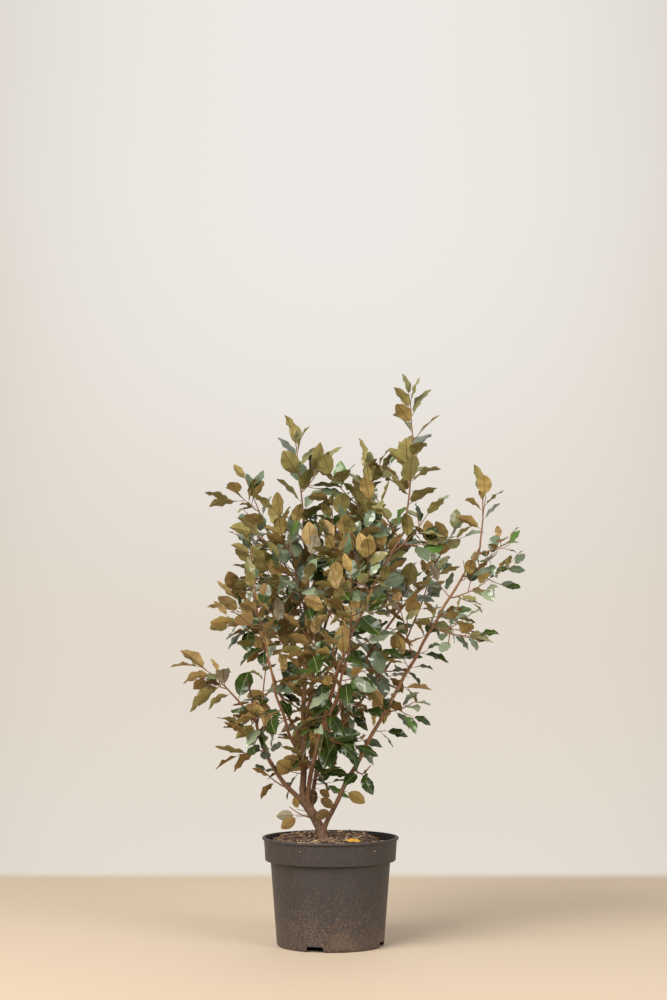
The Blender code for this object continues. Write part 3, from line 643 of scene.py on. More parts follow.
@dataclass
class Stem:
    """A smooth tapering line with a slight natural wander, which a limb, spray or twig follows."""

    SWAY_LENGTH = 0.055
    SWAY_PLANE = 7.3
    SWAY_ONSET = 8
    TANGENT_STEP = 0.03
    LENGTH_STEPS = 12

    foot: Vector
    bend: Vector
    tip: Vector
    foot_radius: float
    tip_radius: float
    wander: float = 0.0
    seed: float = 0.0

    def point(self, share: float) -> Vector:
        """The point at a share of the way along.

        Args:
            share: 0 at the foot and 1 at the tip.

        Returns:
            The point on the line.
        """
        rest = 1 - share
        plain = rest * rest * self.foot + 2 * rest * share * self.bend + share * share * self.tip
        if self.wander == 0.0:
            return plain
        turns = (self.tip - self.foot).length / self.SWAY_LENGTH
        sway = noise.noise_vector(Vector((share * turns, self.seed, self.SWAY_PLANE)))
        return plain + sway * (self.wander * min(1.0, self.SWAY_ONSET * share))

    def tangent(self, share: float) -> Vector:
        """The unit heading at a share of the way along."""
        low, high = max(0.0, share - self.TANGENT_STEP), min(1.0, share + self.TANGENT_STEP)
        return (self.point(high) - self.point(low)).normalized()

    def radius(self, share: float) -> float:
        """The radius at a share of the way along."""
        return self.foot_radius + (self.tip_radius - self.foot_radius) * share

    def length(self) -> float:
        """The length along the line."""
        points = [self.point(k / self.LENGTH_STEPS) for k in range(self.LENGTH_STEPS + 1)]
        return sum((after - before).length for before, after in zip(points, points[1:]))


def sideways(along: Vector, heading: float) -> Vector:
    """A unit vector square to a direction.

    Args:
        along: The unit direction.
        heading: How far it is turned about the direction, in radians.

    Returns:
        The vector.
    """
    side = along.cross(UP)
    if side.length < NEARLY_UPRIGHT:
        side = along.cross(Vector((1.0, 0.0, 0.0)))
    return Quaternion(along, heading) @ side.normalized()


@dataclass(frozen=True)
class Spray:
    """One mass of foliage: the limb that bears it, how its stem grows, and the scale of its leaves."""

    name: str
    limb: str
    shoot: Shoot
    leaf_scale: float


def all_sprays() -> list[Spray]:
    """Every mass of foliage, limb by limb.

    Returns:
        The trunk's sprout, then each limb's side sprays, counted from its foot, and its leader.
    """
    found = [Spray("trunk_sprout", "trunk", TRUNK_SHOOT, SPROUT_LEAF_SCALE * TRUNK_SHOOT.leaf)]
    for limb in LIMBS:
        for number, shoot in enumerate(limb.shoots, 1):
            name = f"{limb.name}_leader" if shoot.leads() else f"{limb.name}_spray_{number}"
            scale = limb.leaf_scale * (LEADER_LEAF_SCALE if shoot.leads() else 1.0) * shoot.leaf
            found.append(Spray(name, limb.name, shoot, scale))
    return found


def limb_lines() -> dict[str, Stem]:
    """The line that each limb follows.

    Returns:
        The lines by the limbs' names, the trunk first.
    """
    noise.seed_set(WANDER_SEED)
    lines = {"trunk": Stem(TRUNK_FOOT, TRUNK_BEND, TRUNK_TIP, TRUNK_RADIUS, TRUNK_TIP_RADIUS)}
    for number, limb in enumerate(LIMBS):
        anchor = lines[limb.carrier].point(limb.share)
        tip = Vector(limb.tip)
        bend = (anchor + tip) / 2 + 2 * Vector(limb.bow)
        radii = limb.foot_radius, limb.tip_radius
        lines[limb.name] = Stem(anchor, bend, tip, *radii, BOUGH_WANDER, BOUGH_SEED_STEP * number)
    return lines


@dataclass(frozen=True)
class LeafPlace:
    """One leaf: its root, where it points and faces, its length, breadth for its shape, and tints."""

    root: Vector
    points: Vector
    faces: Vector
    length: float
    breadth: float
    shape: int
    upper: Upper
    under: Under

    def turn(self) -> Matrix:
        """The rotation that sets a leaf that points along +X and faces +Z in its place."""
        side = self.faces.cross(self.points)
        return Matrix((self.points, side, self.faces)).transposed()


@dataclass(frozen=True)
class LoneLeaf:
    """A single leaf near the fork, on a short twig of its own, with its underside to the front."""

    limb: str
    share: float
    root: Triple
    tip: Triple
    under: Under


LONE_LEAVES = (
    # The first four leaves take the darkened underside, painted shade, as they hang on the shaded side of the
    # fork.
    LoneLeaf("tall", 0.05, (-0.0236, -0.012, 0.2962), (-0.0030, -0.014, 0.2830), Under.DUSK),
    LoneLeaf("tall", 0.03, (-0.0223, -0.014, 0.2809), (0.0040, -0.016, 0.2630), Under.DUSK),
    LoneLeaf("right", 0.08, (0.0010, -0.018, 0.2570), (-0.0275, -0.022, 0.2430), Under.DUSK),
    LoneLeaf("tall", 0.02, (-0.0300, 0.022, 0.2990), (-0.0440, 0.026, 0.2600), Under.DUSK),
    LoneLeaf("right", 0.13, (0.0300, 0.010, 0.2905), (0.0640, 0.014, 0.2695), Under.TAN),
    LoneLeaf("trunk", 0.62, (-0.0662, -0.006, 0.2460), (-0.1010, -0.010, 0.2452), Under.PALE),
    LoneLeaf("trunk", 0.60, (-0.0633, -0.010, 0.2438), (-0.0925, -0.014, 0.2235), Under.SHADE),
    LoneLeaf("trunk", 0.66, (-0.0630, -0.004, 0.2570), (-0.0690, -0.006, 0.2790), Under.SHADE),
)


@dataclass
class Crowding:
    """The wood and what has grown on it so far. A leaf is turned down if it would cross any of it."""

    CELL = 0.07
    SLEEVE_LENGTH = 0.03
    BARE_SHARE = 0.16
    OUTLINE = ((0.0, 0.0), (0.30, 0.22), (0.62, 0.25), (1.0, 0.0), (0.62, -0.25), (0.30, -0.22))

    wood: list[BVHTree]
    cells: dict[tuple[int, int, int], list[BVHTree]] = field(default_factory=dict)

    def _cell(self, point: Vector) -> tuple[int, int, int]:
        """The cell of space that a point is in."""
        return tuple(math.floor(value / self.CELL) for value in point)

    def _near(self, point: Vector) -> Iterator[BVHTree]:
        """What has grown in the cells round a point."""
        column, row, level = self._cell(point)
        for x, y, z in product((-1, 0, 1), repeat=3):
            yield from self.cells.get((column + x, row + y, level + z), ())

    def _keep(self, middle: Vector, grown: BVHTree) -> None:
        """Keeps what has grown round a point."""
        self.cells.setdefault(self._cell(middle), []).append(grown)

    def add_stem(self, stem: Stem) -> None:
        """Adds a twig as a row of short three-sided sleeves.

        Args:
            stem: The twig's line.
        """
        steps = max(2, round(stem.length() / self.SLEEVE_LENGTH))
        faces = [(0, 1, 4, 3), (1, 2, 5, 4), (2, 0, 3, 5)]
        for k in range(steps):
            ends = (k / steps, (k + 1) / steps)
            corners = [
                stem.point(s) + sideways(stem.tangent(s), math.tau * j / 3) * stem.radius(s)
                for s in ends
                for j in range(3)
            ]
            self._keep(stem.point(sum(ends) / 2), BVHTree.FromPolygons(corners, faces))

    def take(self, leaf: LeafPlace) -> bool:
        """Adds a leaf if its blade crosses nothing grown before.

        Args:
            leaf: The leaf to add.

        Returns:
            True if it was added.
        """
        turn, bare = leaf.turn(), self.BARE_SHARE
        outline = [Vector((bare + (1 - bare) * x, y, 0.0)) for x, y in self.OUTLINE]
        corners = [leaf.root + turn @ corner * leaf.length for corner in outline]
        blade = BVHTree.FromPolygons(corners, [tuple(range(len(corners)))])
        middle = (corners[0] + corners[3]) / 2
        if any(blade.overlap(other) for other in (*self.wood, *self._near(middle))):
            return False
        self._keep(middle, blade)
        return True


@dataclass(frozen=True)
class Season:
    """How likely each tint is at one height in the crown, in the order of Upper and of Under."""

    height: float
    upper: tuple[float, ...]
    under: tuple[float, ...]


# The last underside weight is the darkened underside, painted shade, dealt only low in the crown.
SEASONS = (
    Season(0.26, (1.0, 3.0, 1.0, 0.0, 0.0), (1.0, 0.0, 2.0, 4.0, 0.0, 0.0)),
    Season(0.32, (9.0, 0.3, 0.5, 0.2, 0.0), (2.6, 0.5, 1.6, 4.0, 0.0, 0.6)),
    Season(0.48, (7.0, 0.8, 1.0, 0.2, 0.0), (3.2, 0.9, 2.0, 3.2, 0.2, 0.0)),
    Season(0.66, (2.4, 3.5, 3.5, 0.9, 0.8), (4.0, 1.8, 2.5, 1.6, 0.4, 0.0)),
    Season(0.84, (1.2, 1.8, 4.0, 0.8, 2.6), (2.5, 0.4, 5.5, 0.0, 0.0, 0.0)),
    Season(1.02, (0.0, 0.0, 1.4, 0.7, 5.0), (1.0, 0.0, 8.0, 0.0, 0.0, 0.0)),
)


def dealt(draw: random.Random, height: float, kind: type[IntEnum]) -> Any:
    """A tint for a height in the crown, more likely the commoner it is there.

    Args:
        draw: The seeded source of chance.
        height: The height above the pot's underside.
        kind: Upper or Under.

    Returns:
        One member of that Enum.
    """
    low, high = SEASONS[0], SEASONS[0]
    for season in SEASONS:
        low, high = high, season
        if season.height > height:
            break
    span = high.height - low.height
    share = 0.0 if span <= 0 else min(1.0, max(0.0, (height - low.height) / span))
    tables = (low.upper, high.upper) if kind is Upper else (low.under, high.under)
    weights = [(1 - share) * below + share * above for below, above in zip(*tables)]
    return draw.choices(list(kind), weights)[0]


@dataclass
class Growth:
    """The growth rule: twigs and leaves set round each stem by the golden angle, to a finer degree.

    Pairs are the least and most of a random draw. Heights are above the pot's underside.
    """

    lines: dict[str, Stem]
    crowding: Crowding
    turn: float = math.radians(137.5)
    seeds: float = 99.0

    stem_thinning: float = 0.92
    stem_radius: float = 0.0012
    stem_tip_radius: float = 0.0008
    radius_per_metre: float = 0.006
    stem_wander: float = 0.0022
    leader_carry: float = 0.15
    sag: float = 0.14

    twig_spacing: float = 0.026
    finer_spacing: float = 0.034
    finer_twigs: int = 2
    forking_length: float = 0.05
    twig_jitter: Pair = (0.3, 0.7)
    first_twig: float = 0.12
    twigged_share: float = 0.70
    twig_spread: float = math.radians(48)
    twig_spreads: Pair = (0.8, 1.2)
    twig_longest: float = 0.52
    twig_shortening: float = 0.24
    longest_twig: float = 0.085
    twig_lengths: Pair = (0.75, 1.15)
    twig_lift: float = 0.10
    twig_thinning: float = 0.85
    twig_radius: float = 0.0010
    twig_tip_radius: float = 0.0006
    twig_wander: float = 0.0014
    single_shoot_height: float = 0.90
    floor: float = 0.211
    twig_clearance: float = 0.02

    spur_spacing: float = 0.034
    spur_leaf_spacing: float = 0.011
    spurred_share: float = 0.96
    spur_jitter: Pair = (0.2, 0.8)
    spur_spreads: Pair = (45.0, 80.0)
    spur_lengths: Pair = (0.016, 0.042)
    spur_radius: float = 0.0011
    spur_wander: float = 0.001
    spur_leaf_scale: float = 0.95
    lowest_spur: float = 0.240

    leaf_length: float = 0.0605
    leaf_lengths: Pair = (0.78, 1.14)
    leaf_breadths: Pair = (0.88, 1.14)
    stem_spacing: float = 0.0195
    twig_leaf_spacing: float = 0.0188
    first_leaf: float = 0.10
    leafy_share: float = 0.88
    first_spread: float = math.radians(68)
    last_spread: float = math.radians(44)
    end_spreads: Pair = (math.radians(16), math.radians(30))
    roll: float = math.radians(30)
    twist: float = math.radians(20)
    nod: float = 0.30
    tip_shrink: float = 0.22
    root_share: float = 0.6
    like_share: float = 0.5
    upturn: float = 0.6
    level_height: float = 0.70
    hang_per_metre: float = 1.6
    most_hang: float = 0.45
    most_rise: float = 0.14
    shapes: int = 8
    narrow_shapes: int = 2
    broad_height: float = 0.56
    try_turns: tuple[float, ...] = (0.0, 0.45, -0.45, 0.95, -0.95, 1.6, -1.6, 2.4, 0.0)
    try_scales: tuple[float, ...] = (1.0, 1.0, 1.0, 0.95, 0.95, 0.9, 0.9, 0.8, 0.65)

    away: Vector = Vector((0.12, 1.0, 0.25))
    lone_scale: float = 1.08
    lone_lift: float = 0.002
    lone_radius: float = 0.0009

    twigs: list[Stem] = field(default_factory=list)
    leaves: dict[str, list[LeafPlace]] = field(default_factory=dict)

    def spray_stem(self, limb: Stem, shoot: Shoot) -> Stem:
        """The main stem of a spray, which starts on its limb's own line and bends up to the light.

        Args:
            limb: The line of the limb that bears it.
            shoot: Where the spray grows.

        Returns:
            The stem's line.
        """
        anchor = limb.point(shoot.share)
        turn, rise = math.radians(shoot.heading), math.radians(shoot.rise)
        flat = math.cos(rise)
        tip = anchor + shoot.reach * Vector((flat * math.cos(turn), flat * math.sin(turn), math.sin(rise)))
        bend = (anchor + tip) / 2
        if shoot.leads():
            bend += limb.tangent(1.0) * (self.leader_carry * shoot.reach)
            thick = limb.tip_radius
        else:
            bend -= UP * (self.sag * shoot.reach)
            widest = self.stem_radius + self.radius_per_metre * shoot.reach
            thick = min(limb.radius(shoot.share) * self.stem_thinning, widest)
        seed = 10 * shoot.heading + shoot.share
        return Stem(anchor, bend, tip, thick, self.stem_tip_radius, self.stem_wander, seed)

    def grow(self, spray: Spray) -> None:
        """Grows one spray: its stem, twigs, finer twigs and leaves.

        Args:
            spray: The spray to grow.
        """
        draw = random.Random(spray.name)
        stem = self.spray_stem(self.lines[spray.limb], spray.shoot)
        twigs = self.side_twigs(stem, draw, spray.shoot.twigs, self.twig_spacing)
        finer = []
        for twig in twigs:
            if twig.length() > self.forking_length:
                finer += self.side_twigs(twig, draw, self.finer_twigs, self.finer_spacing)
        grown = [stem, *twigs, *finer]
        for line in grown:
            self.crowding.add_stem(line)
        self.twigs += grown
        if spray.leaf_scale == 0:
            return
        for line in grown:
            spacing = self.stem_spacing if line is stem else self.twig_leaf_spacing
            self.leaf_line(spray.limb, spray.leaf_scale, line, spacing, draw)

    def grow_lone_leaf(self, lone: LoneLeaf) -> None:
        """Grows one leaf on a short twig.

        Args:
            lone: The leaf.
        """
        foot, root = self.lines[lone.limb].point(lone.share), Vector(lone.root)
        bend = (foot + root) / 2 + UP * self.lone_lift
        self.twigs.append(Stem(foot, bend, root, self.lone_radius, self.twig_tip_radius))
        reach = Vector(lone.tip) - root
        points = reach.normalized()
        faces = (self.away - points * self.away.dot(points)).normalized()
        length = self.lone_scale * reach.length
        leaf = LeafPlace(root, points, faces, length, 1.0, self.shapes - 1, Upper.DARK, lone.under)
        if self.crowding.take(leaf):
            self.leaves.setdefault(lone.limb, []).append(leaf)

    def grow_spurs(self, limb: Limb) -> None:
        """Grows short leafy spurs all along a bough, which fill the inside of the crown.

        Args:
            limb: The bough.
        """
        line, draw = self.lines[limb.name], random.Random(limb.name + " spurs")
        heading = draw.uniform(0, math.tau)
        count = round(line.length() / self.spur_spacing)
        for k in range(count):
            heading += self.turn
            share = self.spurred_share * (k + draw.uniform(*self.spur_jitter)) / count
            foot, along = line.point(share), line.tangent(share)
            spread = math.radians(draw.uniform(*self.spur_spreads))
            length = draw.uniform(*self.spur_lengths)
            tip = foot + (along * math.cos(spread) + sideways(along, heading) * math.sin(spread)) * length
            if share < limb.first_spur or foot.z < self.lowest_spur:
                continue
            bend = (foot + tip) / 2 - UP * (self.twig_lift * length)
            seed = draw.uniform(0, self.seeds)
            spur = Stem(foot, bend, tip, self.spur_radius, self.twig_tip_radius, self.spur_wander, seed)
            self.crowding.add_stem(spur)
            self.twigs.append(spur)
            scale = max(self.spur_leaf_scale, limb.leaf_scale)
            self.leaf_line(limb.name, scale, spur, self.spur_leaf_spacing, draw)

    def side_twigs(self, stem: Stem, draw: random.Random, most: int, spacing: float) -> list[Stem]:
        """Twigs set round a stem by the golden angle, shorter towards its tip.

        Args:
            stem: The line that bears them.
            draw: The seeded source of chance.
            most: The most twigs to grow.
            spacing: The length of stem for each twig.

        Returns:
            The twigs' lines.
        """
        heading = draw.uniform(0, math.tau)
        reach = stem.length()
        count = min(most, round(reach / spacing))
        grown = []
        for k in range(count):
            heading += self.turn
            place = (k + draw.uniform(*self.twig_jitter)) / count
            share = self.first_twig + self.twigged_share * place
            spread = self.twig_spread * draw.uniform(*self.twig_spreads)
            length = reach * (self.twig_longest - self.twig_shortening * place)
            length = min(length, self.longest_twig) * draw.uniform(*self.twig_lengths)
            foot = stem.point(share)
            if foot.z > self.single_shoot_height:
                break
            along = stem.tangent(share)
            lean = along * math.cos(spread) + sideways(along, heading) * math.sin(spread)
            tip = foot + lean * length
            if tip.z < self.floor + self.twig_clearance:
                continue
            bend = (foot + tip) / 2 - UP * (self.twig_lift * length)
            widest = self.twig_radius + self.radius_per_metre * length
            thick = min(stem.radius(share) * self.twig_thinning, widest)
            seed = draw.uniform(0, self.seeds)
            grown.append(Stem(foot, bend, tip, thick, self.twig_tip_radius, self.twig_wander, seed))
        return grown

    def leaf_line(self, limb: str, scale: float, stem: Stem, spacing: float, draw: random.Random) -> None:
        """Sets leaves along one stem or twig, tinted alike but for a few.

        Args:
            limb: The name of the limb whose piece the leaves belong to.
            scale: The scale of the leaves.
            stem: The line that bears them.
            spacing: The length of stem for each leaf.
            draw: The seeded source of chance.
        """
        heading = draw.uniform(0, math.tau)
        count = max(2, round(stem.length() / spacing))
        tints = dealt(draw, stem.tip.z, Upper), dealt(draw, stem.tip.z, Under)
        for k in range(1, count + 1):
            heading += self.turn
            share = self.first_leaf + self.leafy_share * k / count
            spread = self.first_spread + (self.last_spread - self.first_spread) * share
            length = self.leaf_length * scale * draw.uniform(*self.leaf_lengths)
            length *= 1 - self.tip_shrink * share * share
            if count - k < len(self.end_spreads):
                spread = self.end_spreads[count - k]
            nod = self.nod * draw.uniform(-1, 1)
            roll = self.twist + self.roll * draw.uniform(-1, 1)
            height = stem.point(share).z
            upper = tints[0] if draw.random() < self.like_share else dealt(draw, height, Upper)
            under = tints[1] if draw.random() < self.like_share else dealt(draw, height, Under)
            shape = draw.randrange(self.shapes - self.narrow_shapes)
            if height > self.broad_height:
                shape += self.narrow_shapes
            breadth = draw.uniform(*self.leaf_breadths)
            for turn, shrink in zip(self.try_turns, self.try_scales):
                points, faces, root = self.leaf_aim(stem, share, heading + turn, spread, nod, roll)
                leaf = LeafPlace(root, points, faces, length * shrink, breadth, shape, upper, under)
                if (root + points * leaf.length).z > self.floor and self.crowding.take(leaf):
                    self.leaves.setdefault(limb, []).append(leaf)
                    break

    def leaf_aim(
        self, stem: Stem, share: float, heading: float, spread: float, nod: float, roll: float
    ) -> tuple[Vector, Vector, Vector]:
        """Aims a leaf, which leans off its stem, hangs low in the crown and reaches up at the top.

        Args:
            stem: The line that bears it.
            share: Its share of the way along.
            heading: Its heading round the stem.
            spread: Its angle to the stem.
            nod: How far it droops more than its neighbours.
            roll: Its turn about its own length.

        Returns:
            Where it points, where it faces, and its root.
        """
        along = stem.tangent(share)
        side = sideways(along, heading)
        root = stem.point(share) + side * (self.root_share * stem.radius(share))
        points = along * math.cos(spread) + side * math.sin(spread)
        hang = (self.level_height - root.z) * self.hang_per_metre
        hang = max(-self.most_rise, min(self.most_hang, hang))
        points = (points - UP * (hang + nod)).normalized()
        light = along * self.upturn + UP
        faces = (light - points * light.dot(points)).normalized()
        return points, Quaternion(points, roll) @ faces, root


# Meshes


def new_object(name: str, data: Any, finishes: Sequence[Finish] = ()) -> Object:
    """Links a mesh, light or camera to the scene as an object at the origin.

    Args:
        name: The object's name.
        data: What the object shows.
        finishes: The finishes to give to a mesh.

    Returns:
        The new object.
    """
    made = bpy.data.objects.new(name, data)
    bpy.context.scene.collection.objects.link(made)
    for material in materials(finishes):
        data.materials.append(material)
    return made


def plain_mesh(shape: BMesh, name: str) -> Mesh:
    """Ends a bmesh as a mesh.

    Args:
        shape: The bmesh, which is freed.
        name: The mesh's name.

    Returns:
        The mesh.
    """
    mesh = bpy.data.meshes.new(name)
    shape.to_mesh(mesh)
    shape.free()
    return mesh


def mesh_from(shape: BMesh, name: str, sharp: float = 40.0) -> Mesh:
    """Ends a bmesh as a smooth mesh with sharp edges.

    Args:
        shape: The bmesh, which is freed.
        name: The mesh's name.
        sharp: The angle in degrees past which an edge is sharp.

    Returns:
        The mesh.
    """
    mesh = plain_mesh(shape, name)
    mesh.shade_smooth()
    mesh.set_sharp_from_angle(angle=math.radians(sharp))
    return mesh


def settled(source: Object, name: str) -> Object:
    """Makes a plain mesh object in place of one with modifiers, which is removed with its mesh.

    Args:
        source: The object with modifiers.
        name: The new object's name.

    Returns:
        The new object.
    """
    bpy.context.view_layer.update()
    graph = bpy.context.evaluated_depsgraph_get()
    mesh = bpy.data.meshes.new_from_object(source.evaluated_get(graph))
    old = source.data
    bpy.data.objects.remove(source)
    bpy.data.meshes.remove(old)
    mesh.name = name
    return new_object(name, mesh)


def carried(piece: Object, slot: str, *nodes: str) -> None:
    """Makes a piece ride on the body, and reports it.

    Args:
        piece: The finished piece.
        slot: The record's material slot; not used.
        *nodes: The CAD nodes that it stands for.
    """
    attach(piece, BODY)
    if nodes:
        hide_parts(*nodes)
    LOG.info("%s: %d faces", piece.name, len(piece.data.polygons))


def eased(value: float, start: float, end: float) -> float:
    """0 at the start and 1 at the end, with a smooth step between them."""
    share = min(1.0, max(0.0, (value - start) / (end - start)))
    return share * share * (3 - 2 * share)


def rounded(corners: Sequence[Triple], steps: int = 4) -> list[Pair]:
    """Rounds each corner of a profile by an arc.

    Args:
        corners: The radius, height and rounding of each corner.
        steps: The straight runs in each arc.

    Returns:
        The radius and height of each point.
    """
    made = []
    for k, (radius, height, rounding) in enumerate(corners):
        here = Vector((radius, height))
        if rounding <= 0 or k in (0, len(corners) - 1):
            made.append((radius, height))
            continue
        before = Vector(corners[k - 1][:2]) - here
        after = Vector(corners[k + 1][:2]) - here
        reach = min(rounding, 0.48 * before.length, 0.48 * after.length)
        start, end = here + before.normalized() * reach, here + after.normalized() * reach
        for step in range(steps + 1):
            share = step / steps
            spot = (1 - share) ** 2 * start + 2 * share * (1 - share) * here + share**2 * end
            made.append((spot.x, spot.y))
    return made


def turned(profile: Sequence[Pair], steps: int) -> BMesh:
    """Turns a closed body about +Z.

    Args:
        profile: The radius and height of each point of its section.
        steps: The steps round it.

    Returns:
        The body, with its doubles merged and its faces outward.
    """
    shape = bmesh.new()
    line = [shape.verts.new((radius, 0.0, height)) for radius, height in profile]
    edges = [shape.edges.new(pair) for pair in zip(line, line[1:])]
    bmesh.ops.spin(shape, geom=line + edges, axis=UP, cent=(0, 0, 0), angle=math.tau, steps=steps)
    bmesh.ops.remove_doubles(shape, verts=shape.verts, dist=MERGE_DISTANCE)
    bmesh.ops.recalc_face_normals(shape, faces=shape.faces)
    return shape


def chip(name: str, draw: random.Random, length: float, width: float, thickness: float) -> Mesh:
    """An irregular splinter: a block with its corners shifted and its ends skewed.

    Args:
        name: The mesh's name.
        draw: The seeded source of chance.
        length: Its length along X.
        width: Its width along Y.
        thickness: Its thickness along Z.

    Returns:
        A closed mesh of a few faces.
    """
    squareness, wobble = 0.6, 0.13
    shape = bmesh.new()
    bmesh.ops.create_icosphere(shape, subdivisions=1, radius=0.5)
    for corner in shape.verts:
        square = [math.copysign(abs(value * 2) ** squareness / 2, value) for value in corner.co]
        spot = Vector(square) + Vector([draw.uniform(-wobble, wobble) for _ in range(3)])
        corner.co = (spot.x * length, spot.y * width, spot.z * thickness)
    return plain_mesh(shape, name)


# Geometry nodes


class Recipe:
    """A geometry node tree with named inputs, which is built by calls and then run once to make a piece."""

    def __init__(
        self, name: str, inputs: dict[str, tuple[str, Any]], templates: Sequence[Mesh] = ()
    ) -> None:
        """Makes the tree and its inputs.

        Args:
            name: The name of the tree and of the piece that it makes.
            inputs: The type and value of each input, by name.
            templates: Meshes to copy, which become the input named Templates.
        """
        self.name = name
        self.inputs = dict(inputs)
        self.kept = None
        if templates:
            self.kept = bpy.data.collections.new(name + "_templates")
            bpy.context.scene.collection.children.link(self.kept)
            for mesh in templates:
                template = bpy.data.objects.new(mesh.name, mesh)
                template.hide_render = True
                self.kept.objects.link(template)
            self.inputs["Templates"] = ("NodeSocketCollection", self.kept)
        self.tree = bpy.data.node_groups.new(name, "GeometryNodeTree")
        self.tree.interface.new_socket("Geometry", in_out="INPUT", socket_type="NodeSocketGeometry")
        for label, (kind, _) in self.inputs.items():
            self.tree.interface.new_socket(label, in_out="INPUT", socket_type=kind)
        self.tree.interface.new_socket("Geometry", in_out="OUTPUT", socket_type="NodeSocketGeometry")
        self.graph = Graph(self.tree)
        group = self.graph.add("NodeGroupInput", {}, {})
        self.given = {label: group.out(label) for label in ("Geometry", *self.inputs)}

    def stored(self, kind: str, name: str) -> Signal:
        """A named attribute."""
        return self.graph.add("GeometryNodeInputNamedAttribute", {"data_type": kind}, {"Name": name})

    def drawn(self, kind: str, low: Any, high: Any) -> Signal:
        """A random number, whole number or vector for each element, from the input named Seed."""
        output, suffix = {"FLOAT_VECTOR": (0, ""), "FLOAT": (1, "_001"), "INT": (2, "_002")}[kind]
        sockets = {"Min" + suffix: low, "Max" + suffix: high, "Seed": self.given["Seed"]}
        return self.graph.add("FunctionNodeRandomValue", {"data_type": kind}, sockets, output)

    def copies(self, points: Signal, pick: Signal, turn: Signal, size: Signal) -> Signal:
        """Sets copies of the templates on points.

        Args:
            points: The points.
            pick: The number of each point's template.
            turn: Each copy's turn, as three angles.
            size: Each copy's size.

        Returns:
            The copies, as instances.
        """
        each = {"Collection": self.given["Templates"], "Separate Children": True, "Reset Children": True}
        sockets = {
            "Points": points,
            "Instance": self.graph.add("GeometryNodeCollectionInfo", {}, each),
            "Pick Instance": True,
            "Instance Index": pick,
            "Rotation": self.graph.add("FunctionNodeEulerToRotation", {}, {0: turn}),
            "Scale": size,
        }
        return self.graph.add("GeometryNodeInstanceOnPoints", {}, sockets)

    def real(self, instances: Signal) -> Signal:
        """The instances as one real mesh."""
        return self.graph.add("GeometryNodeRealizeInstances", {}, {0: instances})

    def _marked(self, attribute: str, number: int) -> Signal:
        """True where a whole-number attribute has this value."""
        sockets = {"A_INT": self.stored("INT", attribute), "B_INT": number}
        return self.graph.add("FunctionNodeCompare", {"data_type": "INT", "operation": "EQUAL"}, sockets)

    def painted(
        self, geometry: Signal, by: str, finishes: Sequence[Material], first: int = 0, side: int = -1
    ) -> Signal:
        """Sets materials by the value of a whole-number attribute.

        Args:
            geometry: What to paint.
            by: The attribute.
            finishes: The materials for its values, in their order.
            first: The value that the first of them is for.
            side: Paints only the faces whose "side" has this value, or all of them at -1.

        Returns:
            The painted geometry.
        """
        for number, finish in enumerate(finishes, first):
            chosen = self._marked(by, number)
            if side >= 0:
                both = {0: chosen, 1: self._marked("side", side)}
                chosen = self.graph.add("FunctionNodeBooleanMath", {"operation": "AND"}, both)
            sockets = {"Geometry": geometry, "Selection": chosen, "Material": finish}
            geometry = self.graph.add("GeometryNodeSetMaterial", {}, sockets)
        return geometry

    def run(self, result: Signal, mesh: Mesh | None = None) -> Object:
        """Leads the result to the tree's output, runs the tree and keeps what it makes as a plain mesh.

        Args:
            result: The geometry to keep.
            mesh: What the tree works on, if anything.

        Returns:
            The new piece.
        """
        self.graph.add("NodeGroupOutput", {}, {0: result})
        label = self.name + "_source"
        source = new_object(label, mesh or bpy.data.meshes.new(label))
        grow = source.modifiers.new("grow", "NODES")
        grow.node_group = self.tree
        for item in self.tree.interface.items_tree:
            if item.in_out == "INPUT" and item.name in self.inputs:
                grow[item.identifier] = self.inputs[item.name][1]
        piece = settled(source, self.name)
        if self.kept:
            for template in list(self.kept.objects):
                shape = template.data
                bpy.data.objects.remove(template)
                bpy.data.meshes.remove(shape)
            bpy.data.collections.remove(self.kept)
        return piece


# Pot


